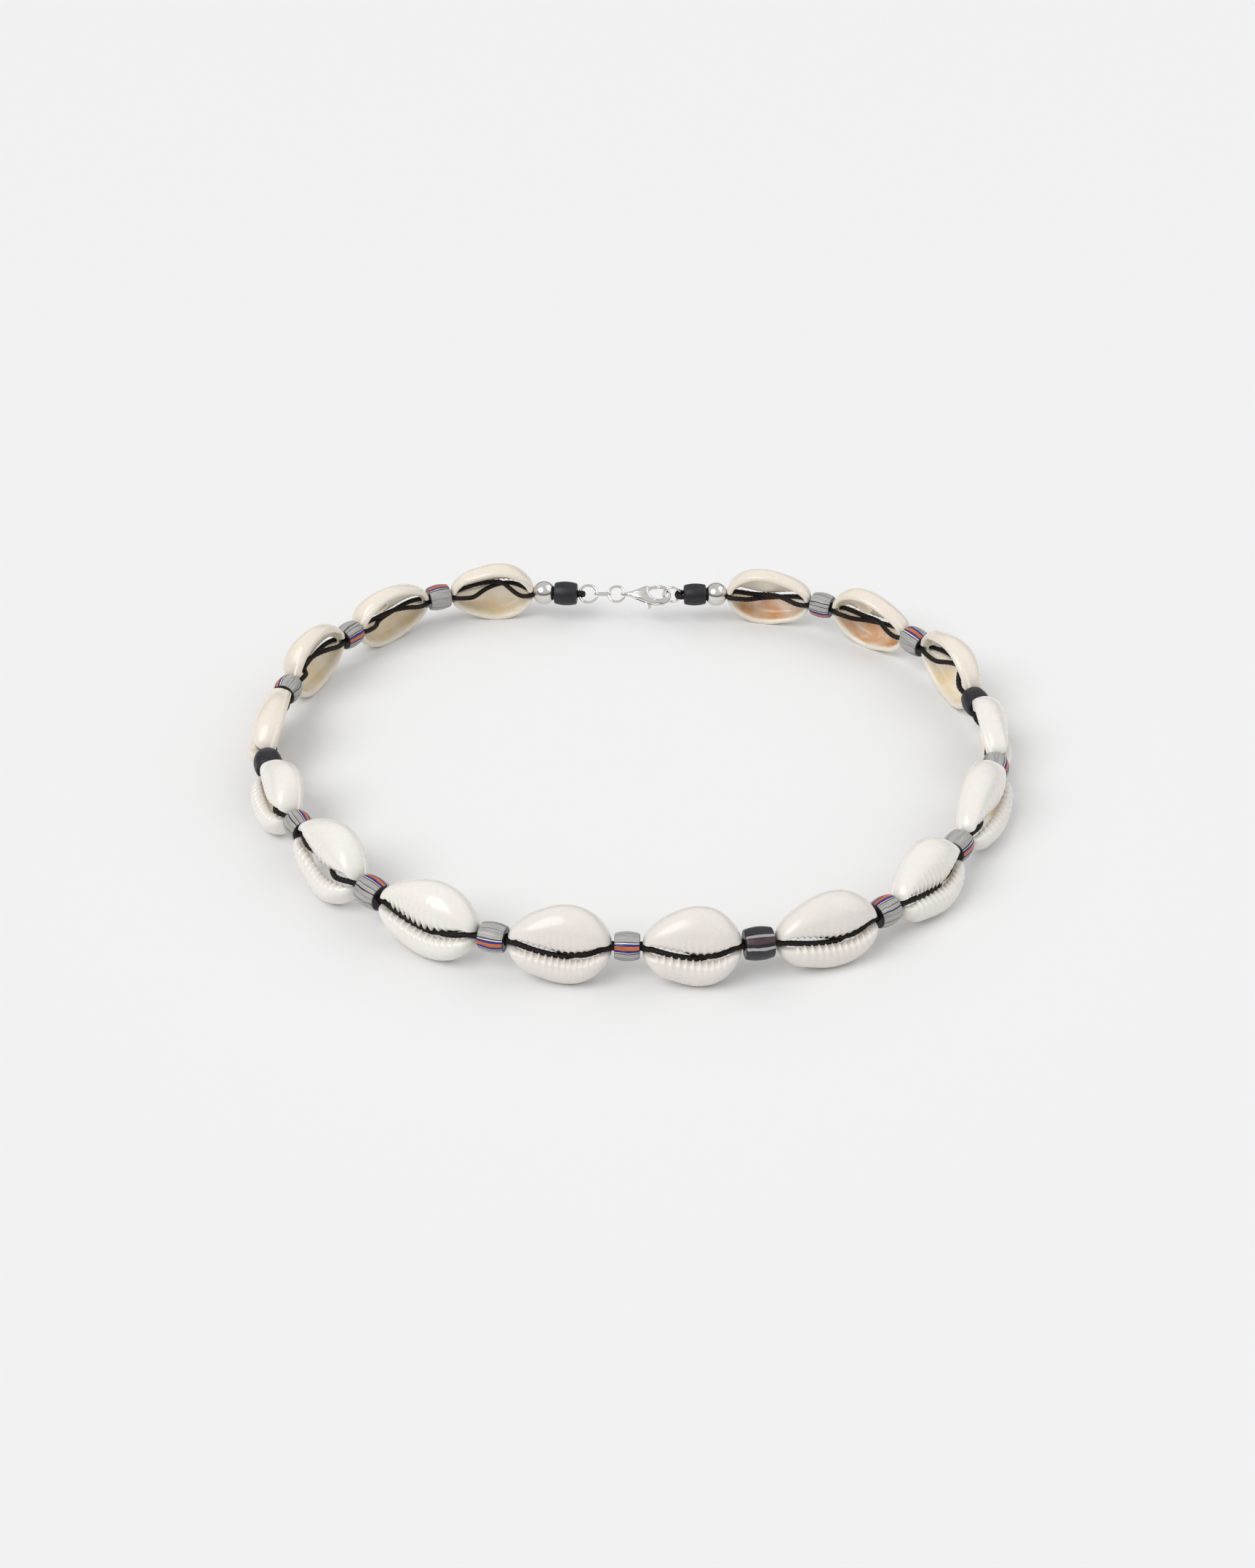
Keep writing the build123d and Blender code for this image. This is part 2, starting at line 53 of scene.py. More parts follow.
# Cord
SEAT_GAP = 0.25             # between neighbours on the cord
SET_OUT = 0.65              # from the cord's line out to a shell's long axis
BACK_CUT = 1.4              # from the cord's line in to the flat that opens the back
LANE = 0.62                 # each strand's offset from the cord's line inside a bead
INNER_LANE = 1.3            # strand laid over a shell's back rim
OUTER_LANE = 1.2            # strand laid in a shell's aperture
LOOP_OFFSET = 0.92          # from a ring's wire to the strand that turns round it
BEAD_LEAN = 12.0            # degrees, how far the strands' plane leans inwards in the beads

# Nominal pieces, which each row below takes its share of
SHELL_LENGTH = 20.3
SHELL_WIDTH = 15.6
BEAD_LENGTH = 5.3
BEAD_DIAMETER = 5.7
END_BEAD_SEAT = 5.6         # length that an end bead takes on the cord
SILVER_DIAMETER = 5.2
SILVER_SEAT = SILVER_DIAMETER * math.sqrt(1 - 0.66**2)  # between the flats round its bore

# Findings
WIRE_RADIUS = 0.3
END_RING_RADIUS = 2.05      # to the middle of the wire
MIDDLE_RING_RADIUS = 1.85
HOOK_RING_RADIUS = 2.0
MOUTH_REACH = 3.65          # from the clasp's middle to the wire in its mouth
EYE = (-5.3, 0.6)           # middle of the clasp's eye in the clasp's own frame
RING_SPACING = 2.6          # between the wires that the small link joins
LINK_WIRE_RADIUS = 0.25
LINK_WIDTH = 1.85
FINDING_TILT = 48.0         # degrees, how far the clasp and its rings face upwards
HOOK_RING_TILT = -7.0

# Places along the straight stretch from the right end bead to the left one
HOOK_RING_NEAR = SEAT_GAP + WIRE_RADIUS
CLASP_PLACE = HOOK_RING_NEAR + 2 * HOOK_RING_RADIUS + MOUTH_REACH
MIDDLE_RING_NEAR = CLASP_PLACE - EYE[0]
MIDDLE_RING_FAR = MIDDLE_RING_NEAR + 2 * MIDDLE_RING_RADIUS
END_RING_NEAR = MIDDLE_RING_FAR + RING_SPACING
END_RING_FAR = END_RING_NEAR + 2 * END_RING_RADIUS
FINDINGS_LENGTH = END_RING_FAR + WIRE_RADIUS + SEAT_GAP


class Strand(Enum):
    """Side on which a cord strand starts."""

    A = 1
    B = -1


class Lay(Enum):
    """Way in which the strands go through a piece."""

    SHELL = "shell"
    TURNED = "turned shell"
    CROSSED = "shell with its strands crossed behind the slit"
    BEAD = "bead"
    END_LEFT = "left end bead"
    END_RIGHT = "right end bead"


class Tone(Enum):
    """Finish of a shell."""

    COOL = "cool"
    WHITE = "white"
    CREAM = "cream"
    WARM = "warm"


class BeadKind(Enum):
    """Finish of a bead."""

    STRIPED = "striped"
    PLUM = "plum"
    BANDED = "banded"
    DARK = "dark"
    SILVER = "silver"


@dataclass(frozen=True)
class Placement:
    """Place of a piece: its middle, and how far it turns and leans inwards, in degrees."""

    x: float
    y: float
    z: float
    heading: float
    lean: float

    def matrix(self) -> Matrix:
        """Returns the frame's matrix, in millimetres."""
        turn = Matrix.Rotation(math.radians(self.heading), 4, "Z")
        lean = Matrix.Rotation(-math.radians(self.lean), 4, "X")
        return Matrix.Translation((self.x, self.y, self.z)) @ turn @ lean


def in_millimetres(matrix: Matrix) -> Matrix:
    """Returns a millimetre frame as the matrix that places a mesh in metres."""
    return Matrix.Scale(MM, 4) @ matrix


def smooth_step(low: float, high: float, values: np.ndarray) -> np.ndarray:
    """Eases from 0 at low to 1 at high.

    Args:
        low: Value up to which the result is 0.
        high: Value from which the result is 1.
        values: Values to ease.

    Returns:
        The eased shares.
    """
    share = np.clip((values - low) / (high - low), 0.0, 1.0)
    return share * share * (3 - 2 * share)


def finish_mesh(mesh_data: bmesh.types.BMesh, name: str, matrix: Matrix) -> bpy.types.Object:
    """Turns a bmesh into a smooth object whose place is in its mesh.

    Args:
        mesh_data: Mesh in millimetres in the piece's own frame; it is freed.
        name: Name of the object.
        matrix: Frame of the piece in millimetres.

    Returns:
        The linked object, at the origin.
    """
    bmesh.ops.transform(mesh_data, matrix=in_millimetres(matrix), verts=mesh_data.verts)
    bmesh.ops.recalc_face_normals(mesh_data, faces=mesh_data.faces)
    for face in mesh_data.faces:
        face.smooth = True
    mesh = bpy.data.meshes.new(name)
    mesh_data.to_mesh(mesh)
    mesh_data.free()
    piece = bpy.data.objects.new(name, mesh)
    bpy.context.scene.collection.objects.link(piece)
    return piece


def spin_round(section: bmesh.types.BMesh, geometry: list, axis: tuple, steps: int) -> None:
    """Spins an open section once round an axis through the origin and merges the seam."""
    bmesh.ops.spin(section, geom=geometry, cent=(0, 0, 0), axis=axis, angle=FULL_TURN, steps=steps,
                   use_merge=True, use_duplicate=False)
    bmesh.ops.remove_doubles(section, verts=section.verts, dist=MERGE)


def spin_wire(wire: bmesh.types.BMesh, radius: float, thick: float, sides: int, steps: int) -> None:
    """Spins a round section into a ring about z.

    Args:
        wire: Empty mesh that takes the ring.
        radius: Radius of the ring to the middle of the wire.
        thick: Radius of the wire.
        sides: Sides of the wire's section.
        steps: Steps round the ring.
    """
    section = Matrix.Translation((radius, 0, 0)) @ Matrix.Rotation(math.pi / 2, 4, "X")
    start = bmesh.ops.create_circle(wire, segments=sides, radius=thick, matrix=section)
    geometry = start["verts"] + list({edge for vert in start["verts"] for edge in vert.link_edges})
    spin_round(wire, geometry, (0, 0, 1), steps)


def turn_profile(turned: bmesh.types.BMesh, profile: list[tuple[float, float]], steps: int) -> None:
    """Turns a closed profile of places along and out round the cord's line."""
    verts = [turned.verts.new((x, out, 0)) for x, out in profile]
    edges = [turned.edges.new(pair) for pair in zip(verts, verts[1:])]
    edges.append(turned.edges.new((verts[-1], verts[0])))
    spin_round(turned, verts + edges, (1, 0, 0), steps)


def soften(shape: bmesh.types.BMesh, times: int) -> None:
    """Smooths all vertices a number of times."""
    for _ in range(times):
        bmesh.ops.smooth_vert(shape, verts=shape.verts, factor=0.5, use_axis_x=True, use_axis_y=True,
                              use_axis_z=True)


def mesh_of_curve(curve: bpy.types.Curve) -> bmesh.types.BMesh:
    """Turns a curve into a mesh and takes the curve's own object away."""
    holder = bpy.data.objects.new(curve.name, curve)
    bpy.context.scene.collection.objects.link(holder)
    bpy.context.view_layer.update()
    mesh = bpy.data.meshes.new_from_object(holder)
    bpy.data.objects.remove(holder)
    shape = bmesh.new()
    shape.from_mesh(mesh)
    bpy.data.meshes.remove(mesh)
    return shape


def tube_along(name: str, points: list, radius: float, resolution: int, closed: bool) -> bmesh.types.BMesh:
    """Draws a round tube along a smooth line.

    Args:
        name: Name of the line.
        points: Points that pull the line.
        radius: Radius of the tube.
        resolution: Steps between two points.
        closed: Whether the line is a loop; an open one gets caps.

    Returns:
        The tube.
    """
    curve = bpy.data.curves.new(name, "CURVE")
    curve.dimensions = "3D"
    curve.resolution_u = resolution
    spline = curve.splines.new("NURBS")
    spline.points.add(len(points) - 1)
    for target, point in zip(spline.points, points):
        target.co = (*point, 1.0)
    spline.order_u = 3
    spline.use_cyclic_u = closed
    spline.use_endpoint_u = not closed
    curve.bevel_depth = radius
    curve.bevel_resolution = 3
    curve.use_fill_caps = not closed
    return mesh_of_curve(curve)


def dress(piece: bpy.types.Object, material: bpy.types.Material, slot: str, *nodes: str,
          body: str = BODY) -> bpy.types.Object:
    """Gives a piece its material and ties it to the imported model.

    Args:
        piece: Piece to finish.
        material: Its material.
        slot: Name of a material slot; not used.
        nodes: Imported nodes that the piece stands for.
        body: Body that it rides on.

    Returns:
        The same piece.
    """
    piece.data.materials.clear()
    piece.data.materials.append(material)
    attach(piece, body)
    if nodes:
        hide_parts(*nodes)
    LOG.info("%s: %d faces", piece.name, len(piece.data.polygons))
    return piece


def set_float(mesh: bpy.types.Mesh, name: str, values: np.ndarray) -> None:
    """Stores one number for each vertex under a name that materials read."""
    layer = mesh.attributes.new(name, "FLOAT", "POINT")
    layer.data.foreach_set("value", np.asarray(values, dtype=np.float32))


# Pieces on the cord and their places

@dataclass(frozen=True)
class ShellRow:
    """One cowrie: shares of the nominal shell, its lean in degrees and what sets it apart."""

    length: float
    width: float
    lean: float
    tone: Tone
    lay: Lay = Lay.SHELL
    rib: float = 0.0            # height of the ribs on its lower lip
    slit: float = 0.74          # half width of its aperture
    upper_teeth: float = 0.4    # strength of the teeth on its upper lip
    whorl: bool = False         # whether the cut lays its inner whorl bare


@dataclass(frozen=True)
class BeadRow:
    """One glass bead: shares of the nominal bead, its glass and the turn of its stripes."""

    length: float
    diameter: float
    kind: BeadKind = BeadKind.STRIPED
    turn: float = 0.0
    lay: Lay = Lay.BEAD
    lean: float = BEAD_LEAN


@dataclass(frozen=True)
class EndRow:
    """One bead beside the findings, as long and as far to the right as the photograph shows it."""

    kind: BeadKind
    length: float
    diameter: float
    to_right: float
    lay: Lay = Lay.BEAD
    lean: float = BEAD_LEAN


@dataclass
class Threaded:
    """A piece on the cord: its node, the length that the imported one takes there, and its row."""

    node: str
    seat: float
    row: ShellRow | BeadRow | EndRow
    placement: Placement | None = None

    @property
    def length(self) -> float:
        """Length that the strands run through."""
        return self.row.length if isinstance(self.row, EndRow) else self.seat


# Route of the cord round the neck, given as shares of the ring's half width
ROUTE = [
    (0.00, 0.87), (-0.28, 0.89), (-0.59, 0.86), (-0.84, 0.62), (-0.99, 0.31), (-1.00, -0.06),
    (-0.88, -0.36), (-0.66, -0.66), (-0.35, -0.85), (-0.02, -0.89), (0.30, -0.88), (0.63, -0.75),
    (0.85, -0.47), (1.00, -0.10), (0.99, 0.24), (0.86, 0.57), (0.59, 0.81), (0.27, 0.88),
]
CENTRE = np.array([0.1955, 0.0655])     # where the route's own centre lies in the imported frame

# Shells from the clasp round the left, front and right
SHELLS = [
    ShellRow(0.95, 0.96, 12, Tone.CREAM, Lay.TURNED),
    ShellRow(1.01, 0.97, 12, Tone.CREAM, whorl=True),
    ShellRow(0.98, 1.06, 8, Tone.CREAM, whorl=True),
    ShellRow(1.12, 0.95, 18, Tone.CREAM, whorl=True),
    ShellRow(0.92, 0.94, 23, Tone.WHITE, Lay.CROSSED, rib=0.16, slit=0.85, upper_teeth=0.8),
    ShellRow(1.10, 1.00, 23, Tone.WHITE, Lay.CROSSED, rib=0.06, slit=1.3, upper_teeth=1.3),
    ShellRow(1.09, 0.99, 16, Tone.WHITE, slit=0.92, upper_teeth=1.9),
    ShellRow(0.97, 1.01, 12, Tone.COOL, slit=0.82, upper_teeth=0.55),
    ShellRow(0.92, 1.02, 12, Tone.COOL, slit=0.82, upper_teeth=0.45),
    ShellRow(1.03, 0.97, 13, Tone.COOL, rib=0.05, slit=0.9, upper_teeth=0.45),
    ShellRow(1.04, 0.97, 22, Tone.WHITE, rib=0.22, slit=0.95, upper_teeth=1.9),
    ShellRow(1.20, 1.00, 18, Tone.WHITE, Lay.CROSSED, rib=0.18, slit=1.0, upper_teeth=1.2),
    ShellRow(0.96, 0.95, 14, Tone.WHITE, whorl=True),
    ShellRow(1.07, 1.05, 8, Tone.CREAM, Lay.TURNED, whorl=True),
    ShellRow(1.00, 0.97, 12, Tone.WARM, whorl=True),
    ShellRow(0.97, 0.96, 12, Tone.WARM),
]

# Glass beads between the shells
BEADS = [
    BeadRow(1.00, 1.00, BeadKind.PLUM, turn=0.9),
    BeadRow(1.00, 0.98, turn=0.08),
    BeadRow(0.96, 1.00, turn=0.75),
    BeadRow(1.00, 1.02, BeadKind.DARK),
    BeadRow(0.98, 1.00, turn=0.94),
    BeadRow(1.08, 1.08, turn=0.9),
    BeadRow(1.02, 1.00, turn=0.62),
    BeadRow(0.96, 0.96, turn=0.68),
    BeadRow(1.12, 1.10, BeadKind.BANDED, turn=0.76),
    BeadRow(0.98, 1.02, turn=0.89),
    BeadRow(1.02, 1.04, BeadKind.PLUM, turn=0.67),
    BeadRow(0.96, 1.02, turn=0.68),
    BeadRow(0.98, 1.00, BeadKind.DARK),
    BeadRow(1.08, 1.04, turn=0.9),
    BeadRow(0.96, 0.98, turn=0.18),
]

# Silver and dark beads at both ends of the cord
END_LEFT = EndRow(BeadKind.DARK, 5.25, 5.35, 0.17, Lay.END_LEFT)
SILVER_LEFT = EndRow(BeadKind.SILVER, 4.76, SILVER_DIAMETER, 0.16)
SILVER_RIGHT = EndRow(BeadKind.SILVER, 4.70, SILVER_DIAMETER, -0.22)
END_RIGHT = EndRow(BeadKind.DARK, 5.05, 4.95, -0.12, Lay.END_RIGHT)

# A packed shell's facets reach this share of its outline. The lowest places of its section are given
# as a share of that half width and a place across the wall.
WIDEST_FACET = 0.979
LOWEST = [(1.0, -SET_OUT), (0.959, 0.46)]


def string_order() -> list[Threaded]:
    """Lists every piece on the cord, from the clasp round the left, front and right."""
    pieces = [Threaded("end_bead_left", END_BEAD_SEAT, END_LEFT),
              Threaded("silver_bead_left", SILVER_SEAT, SILVER_LEFT)]
    for number, row in enumerate(SHELLS, start=1):
        pieces.append(Threaded(f"shell_{number:02d}", SHELL_LENGTH * row.length, row))
        if number <= len(BEADS):
            bead = BEADS[number - 1]
            pieces.append(Threaded(f"glass_bead_{number:02d}", BEAD_LENGTH * bead.length, bead))
    pieces.append(Threaded("silver_bead_right", SILVER_SEAT, SILVER_RIGHT))
    pieces.append(Threaded("end_bead_right", END_BEAD_SEAT, END_RIGHT))
    return pieces


class RingLine:
    """The cord's line round the neck, a smooth loop with a seam at the route's first point."""

    def __init__(self, length: float, fine: int = 400) -> None:
        """Draws the loop.

        Args:
            length: Length of the loop.
            fine: Short runs between two points of the route.
        """
        points = np.array(ROUTE + ROUTE[:1])
        chord = np.linalg.norm(np.diff(points, axis=0), axis=1)
        bend = self.bends(points, chord)
        share = np.linspace(0, 1, fine, endpoint=False)[:, None]
        near, far = 1 - share, share
        stretches = []
        for k, run in enumerate(chord):
            straight = points[k] * near + points[k + 1] * far
            bow = bend[k] * (near**3 - near) + bend[k + 1] * (far**3 - far)
            stretches.append(straight + run**2 / 6 * bow)
        line = np.vstack(stretches + [points[:1]])
        run = np.concatenate([[0], np.cumsum(np.linalg.norm(np.diff(line, axis=0), axis=1))])
        self.line = line * length / run[-1]
        self.run = run * length / run[-1]

    def bends(self, points: np.ndarray, chord: np.ndarray) -> np.ndarray:
        """Works out how much a smooth line bends at each point.

        Args:
            points: Points of the line, the last one being the first again.
            chord: Distances between them.

        Returns:
            Second derivative at each point.
        """
        last = len(chord)
        places = np.concatenate([[0], np.cumsum(chord)])
        slope = np.diff(points, axis=0) / chord[:, None]
        seam = np.polyfit(places[:4], points[:4], 3)[2]
        system = np.zeros((last + 1, last + 1))
        wanted = np.zeros((last + 1, 2))
        system[0, :2] = 2 * chord[0], chord[0]
        wanted[0] = 6 * (slope[0] - seam)
        for k in range(1, last):
            system[k, k - 1:k + 2] = chord[k - 1], 2 * (chord[k - 1] + chord[k]), chord[k]
            wanted[k] = 6 * (slope[k] - slope[k - 1])
        system[last, -2:] = chord[-1], 2 * chord[-1]
        wanted[last] = 6 * (seam - slope[-1])
        return np.linalg.solve(system, wanted)

    def point(self, place: float) -> np.ndarray:
        """Returns the point at a distance along the loop."""
        return np.array([np.interp(place, self.run, self.line[:, axis]) for axis in (0, 1)]) + CENTRE


@dataclass
class Layout:
    """Hangs the pieces on the cord's line and the findings between the end beads."""

    pieces: list[Threaded]

    def build(self) -> Matrix:
        """Places every piece and returns the frame of the findings' straight stretch."""
        seats = sum(piece.seat for piece in self.pieces)
        total = seats + SEAT_GAP * (len(self.pieces) - 1) + FINDINGS_LENGTH
        line = RingLine(total)
        place = FINDINGS_LENGTH / 2
        for index, piece in enumerate(self.pieces):
            start, end = line.point(place), line.point(place + piece.seat)
            place += piece.seat + SEAT_GAP
            heading = math.degrees(math.atan2(end[1] - start[1], end[0] - start[0]))
            x, y = (start + end) / 2
            piece.placement = Placement(x, y, self.height(index), heading, piece.row.lean)
        findings = self.stretch()
        for piece in self.pieces:
            if isinstance(piece.row, EndRow):
                piece.placement = replace(piece.placement, x=piece.placement.x + piece.row.to_right)
        return findings

    def height(self, index: int) -> float:
        """Height of a piece's middle: a shell stands, and a bead hangs between its neighbours."""
        reach, shells = 0, []
        while not shells:
            near = self.pieces[max(0, index - reach):index + reach + 1]
            shells = [self.standing(piece.row) for piece in near if isinstance(piece.row, ShellRow)]
            reach += 1
        return sum(shells) / len(shells)

    def standing(self, row: ShellRow) -> float:
        """Height of a shell's long axis when the shell stands on its lower edge."""
        half = WIDEST_FACET * SHELL_WIDTH * row.width / 2
        lean = math.radians(row.lean)
        return max(share * half * math.cos(lean) + y * math.sin(lean) for share, y in LOWEST)

    def stretch(self) -> Matrix:
        """Returns the frame of the straight stretch between the end beads' outer faces."""
        left, right = self.pieces[0], self.pieces[-1]
        start = right.placement.matrix() @ Vector((right.seat / 2, 0, 0))
        end = left.placement.matrix() @ Vector((-left.seat / 2, 0, 0))
        along = (end - start).normalized()
        origin = (start + end) / 2 - along * FINDINGS_LENGTH / 2
        return Placement(*origin, math.degrees(math.atan2(along.y, along.x)), 0.0).matrix()


def on_stretch(findings: Matrix, place: float, tilt: float) -> Matrix:
    """Frame at a place along the findings' stretch, with its face tilted upwards."""
    turn = Matrix.Rotation(-math.radians(90 - tilt), 4, "X")
    return findings @ Matrix.Translation((place, 0, 0)) @ turn


# Shader node groups

def new_group(name: str, inputs: list[tuple[str, str, object]],
              outputs: list[tuple[str, str]]) -> tuple[bpy.types.NodeTree, bpy.types.Node, bpy.types.Node]:
    """Makes an empty shader node group.

    Args:
        name: Name of the group.
        inputs: Name, socket type and value of each input.
        outputs: Name and socket type of each output.

    Returns:
        The group with its input and output nodes.
    """
    tree = bpy.data.node_groups.new(name, "ShaderNodeTree")
    for label, kind, value in inputs:
        socket = tree.interface.new_socket(label, in_out="INPUT", socket_type=kind)
        if value is not None:
            socket.default_value = value
    for label, kind in outputs:
        tree.interface.new_socket(label, in_out="OUTPUT", socket_type=kind)
    source = tree.nodes.new("NodeGroupInput")
    sink = tree.nodes.new("NodeGroupOutput")
    return tree, source, sink


class NodeBench:
    """Adds nodes to one tree with little writing."""

    def __init__(self, tree: bpy.types.NodeTree) -> None:
        """Keeps the tree that the nodes go to."""
        self.tree = tree

    def add(self, kind: str, inputs: dict | None = None, **settings: object) -> bpy.types.Node:
        """Adds a node.

        Args:
            kind: Type of node.
            inputs: Value or source socket of each input, by name or number.
            settings: Properties of the node.

        Returns:
            The node.
        """
        node = self.tree.nodes.new(kind)
        for key, value in settings.items():
            setattr(node, key, value)
        for key, value in (inputs or {}).items():
            if isinstance(value, bpy.types.NodeSocket):
                self.tree.links.new(value, node.inputs[key])
            else:
                node.inputs[key].default_value = value
        return node

    def math(self, operation: str, first: object, second: object = 0.0,
             clamp: bool = False) -> bpy.types.NodeSocket:
        """Adds a calculation with two values and returns its output."""
        node = self.add("ShaderNodeMath", {0: first, 1: second}, operation=operation, use_clamp=clamp)
        return node.outputs[0]

    def mix(self, share: object, first: object, second: object, blend: str = "MIX") -> bpy.types.NodeSocket:
        """Adds a mix of two colours and returns its output."""
        node = self.add("ShaderNodeMix", data_type="RGBA", blend_type=blend)
        for index, value in ((0, share), (6, first), (7, second)):
            if isinstance(value, bpy.types.NodeSocket):
                self.tree.links.new(value, node.inputs[index])
            else:
                node.inputs[index].default_value = value
        return node.outputs[2]

    def spread(self, source: bpy.types.NodeSocket, low: float, high: float, least: float,
               most: float) -> bpy.types.NodeSocket:
        """Adds a range from low and high to least and most and returns its output."""
        return self.add("ShaderNodeMapRange", {0: source, 1: low, 2: high, 3: least, 4: most}).outputs[0]

    def attribute(self, name: str) -> bpy.types.NodeSocket:
        """Adds the reader of a piece's own attribute and returns its value."""
        return self.add("ShaderNodeAttribute", attribute_name=name).outputs["Fac"]

    def bump(self, height: bpy.types.NodeSocket, strength: float, distance: float) -> bpy.types.NodeSocket:
        """Adds a bump and returns its normal."""
        return self.add("ShaderNodeBump", {"Strength": strength, "Distance": distance,
                                           "Height": height}).outputs[0]

    def ramp(self, source: bpy.types.NodeSocket, stops: list[tuple[float, tuple[float, float, float]]],
             kind: str = "LINEAR") -> bpy.types.NodeSocket:
        """Adds a colour ramp and returns its colour output."""
        node = self.add("ShaderNodeValToRGB", {0: source})
        bands = node.color_ramp
        bands.interpolation = kind
        while len(bands.elements) < len(stops):
            bands.elements.new(1.0)
        for element, (place, _) in zip(bands.elements, stops):
            element.position = place
        for element, (_, colour) in zip(bands.elements, stops):
            element.color = (*colour, 1.0)
        return node.outputs[0]


def surface_group() -> bpy.types.NodeTree:
    """Fine unevenness that every finish shares: a grain height and a gloss mask."""
    tree, source, sink = new_group(
        "fine_surface",
        [("Vector", "NodeSocketVector", None), ("Grain size", "NodeSocketFloat", 900.0),
         ("Wear size", "NodeSocketFloat", 120.0)],
        [("Height", "NodeSocketFloat"), ("Wear", "NodeSocketFloat")])
    bench = NodeBench(tree)
    grain = bench.add("ShaderNodeTexNoise", {"Vector": source.outputs[0], "Scale": source.outputs[1],
                                             "Detail": 3.0, "Roughness": 0.55})
    wear = bench.add("ShaderNodeTexNoise", {"Vector": source.outputs[0], "Scale": source.outputs[2],
                                            "Detail": 5.0, "Roughness": 0.6})
    tree.links.new(grain.outputs[0], sink.inputs[0])
    tree.links.new(wear.outputs[0], sink.inputs[1])
    return tree


def clouds_group() -> bpy.types.NodeTree:
    """Soft drift between two colours, as growth and age leave in shell and glass."""
    tree, source, sink = new_group(
        "soft_clouds",
        [("Vector", "NodeSocketVector", None), ("Size", "NodeSocketFloat", 90.0),
         ("Pale", "NodeSocketColor", (1, 1, 1, 1)), ("Deep", "NodeSocketColor", (0.5, 0.5, 0.5, 1)),
         ("Amount", "NodeSocketFloat", 0.5)],
        [("Color", "NodeSocketColor"), ("Mask", "NodeSocketFloat")])
    bench = NodeBench(tree)
    drift = bench.add("ShaderNodeTexNoise", {"Vector": source.outputs[0], "Scale": source.outputs[1],
                                             "Detail": 2.0, "Roughness": 0.5})
    spread = bench.spread(drift.outputs[0], 0.35, 0.65, 0.0, 1.0)
    share = bench.math("MULTIPLY", spread, source.outputs[4], clamp=True)
    tree.links.new(bench.mix(share, source.outputs[2], source.outputs[3]), sink.inputs[0])
    tree.links.new(share, sink.inputs[1])
    return tree


class Groups:
    """Node groups that the materials share, each built once."""

    def __init__(self) -> None:
        """Builds the groups."""
        self.surface = surface_group()
        self.clouds = clouds_group()


def start_material(name: str) -> tuple[bpy.types.Material, NodeBench, bpy.types.ShaderNodeBsdfPrincipled]:
    """Makes a material with a bench for its nodes and its Principled shader."""
    material = bpy.data.materials.new(name)
    material.use_nodes = True
    bench = NodeBench(material.node_tree)
    shader = material.node_tree.nodes["Principled BSDF"]
    return material, bench, shader


def place_group(bench: NodeBench, group: bpy.types.NodeTree, inputs: dict) -> bpy.types.Node:
    """Places a shared group in a material."""
    return bench.add("ShaderNodeGroup", inputs, node_tree=group)


def connect(bench: NodeBench, shader: bpy.types.ShaderNodeBsdfPrincipled, colour: bpy.types.NodeSocket,
            gloss: bpy.types.NodeSocket, normal: bpy.types.NodeSocket) -> None:
    """Feeds a shader's colour, roughness and normal."""
    for name, socket in (("Base Color", colour), ("Roughness", gloss), ("Normal", normal)):
        bench.tree.links.new(socket, shader.inputs[name])


@dataclass(frozen=True)
class ShellFinish:
    """Porcelain of a cowrie: pale outside and tan within, with painted shade in warm brown on both faces of
    the lips at the aperture's edge.
    """

    name: str
    warmth: float
    pale: tuple = (0.86, 0.80, 0.71, 1.0)
    deep: tuple = (0.83, 0.75, 0.63, 1.0)
    inside_pale: tuple = (0.98, 0.94, 0.85, 1.0)
    inside_deep: tuple = (0.94, 0.84, 0.66, 1.0)
    seat_colour: tuple = (0.90, 0.74, 0.48, 1.0)
    # Warm brown multiplied in as painted shade along the lips at the aperture's edge
    painted_slit_shade_colour: tuple = (0.66, 0.56, 0.46, 1.0)
    roughness: float = 0.24

    def build(self, groups: Groups) -> bpy.types.Material:
        """Builds the material."""
        material, bench, shader = start_material(self.name)
        place = bench.add("ShaderNodeTexCoord")
        where = place.outputs["Object"]
        skin = place_group(bench, groups.clouds, {"Vector": where, "Size": 60.0, "Pale": self.pale,
                                                  "Deep": self.deep, "Amount": self.warmth})
        within = place_group(bench, groups.clouds, {"Vector": where, "Size": 210.0, "Pale": self.inside_pale,
                                                    "Deep": self.inside_deep, "Amount": 0.6})
        inside = bench.attribute("inside")
        painted_slit_shade = bench.attribute("painted_slit_shade")
        seat = bench.attribute("seat")
        aged = bench.math("ADD", within.outputs[1], 0.35)
        stain = bench.math("MULTIPLY", seat, aged, clamp=True)
        lining = bench.mix(stain, within.outputs[0], self.seat_colour)
        colour = bench.mix(inside, skin.outputs[0], lining)
        # Painted shade: darkens the lips at the aperture's edge, where the slit's crease lies in shadow
        shade = bench.math("MULTIPLY", painted_slit_shade, 0.30, clamp=True)
        colour = bench.mix(shade, colour, self.painted_slit_shade_colour, "MULTIPLY")
        fine = place_group(bench, groups.surface, {"Vector": where, "Grain size": 1500.0, "Wear size": 260.0})
        gloss = bench.spread(fine.outputs["Wear"], 0.35, 0.7, self.roughness, self.roughness + 0.07)
        connect(bench, shader, colour, gloss, bench.bump(fine.outputs["Height"], 0.03, 0.0002))
        shader.inputs["Subsurface Weight"].default_value = 0.25
        shader.inputs["Subsurface Radius"].default_value = (1.0, 0.6, 0.35)
        shader.inputs["Subsurface Scale"].default_value = 0.0015
        shader.inputs["Coat Weight"].default_value = 0.35
        shader.inputs["Coat Roughness"].default_value = 0.12
        shader.inputs["Specular IOR Level"].default_value = 0.5
        return material


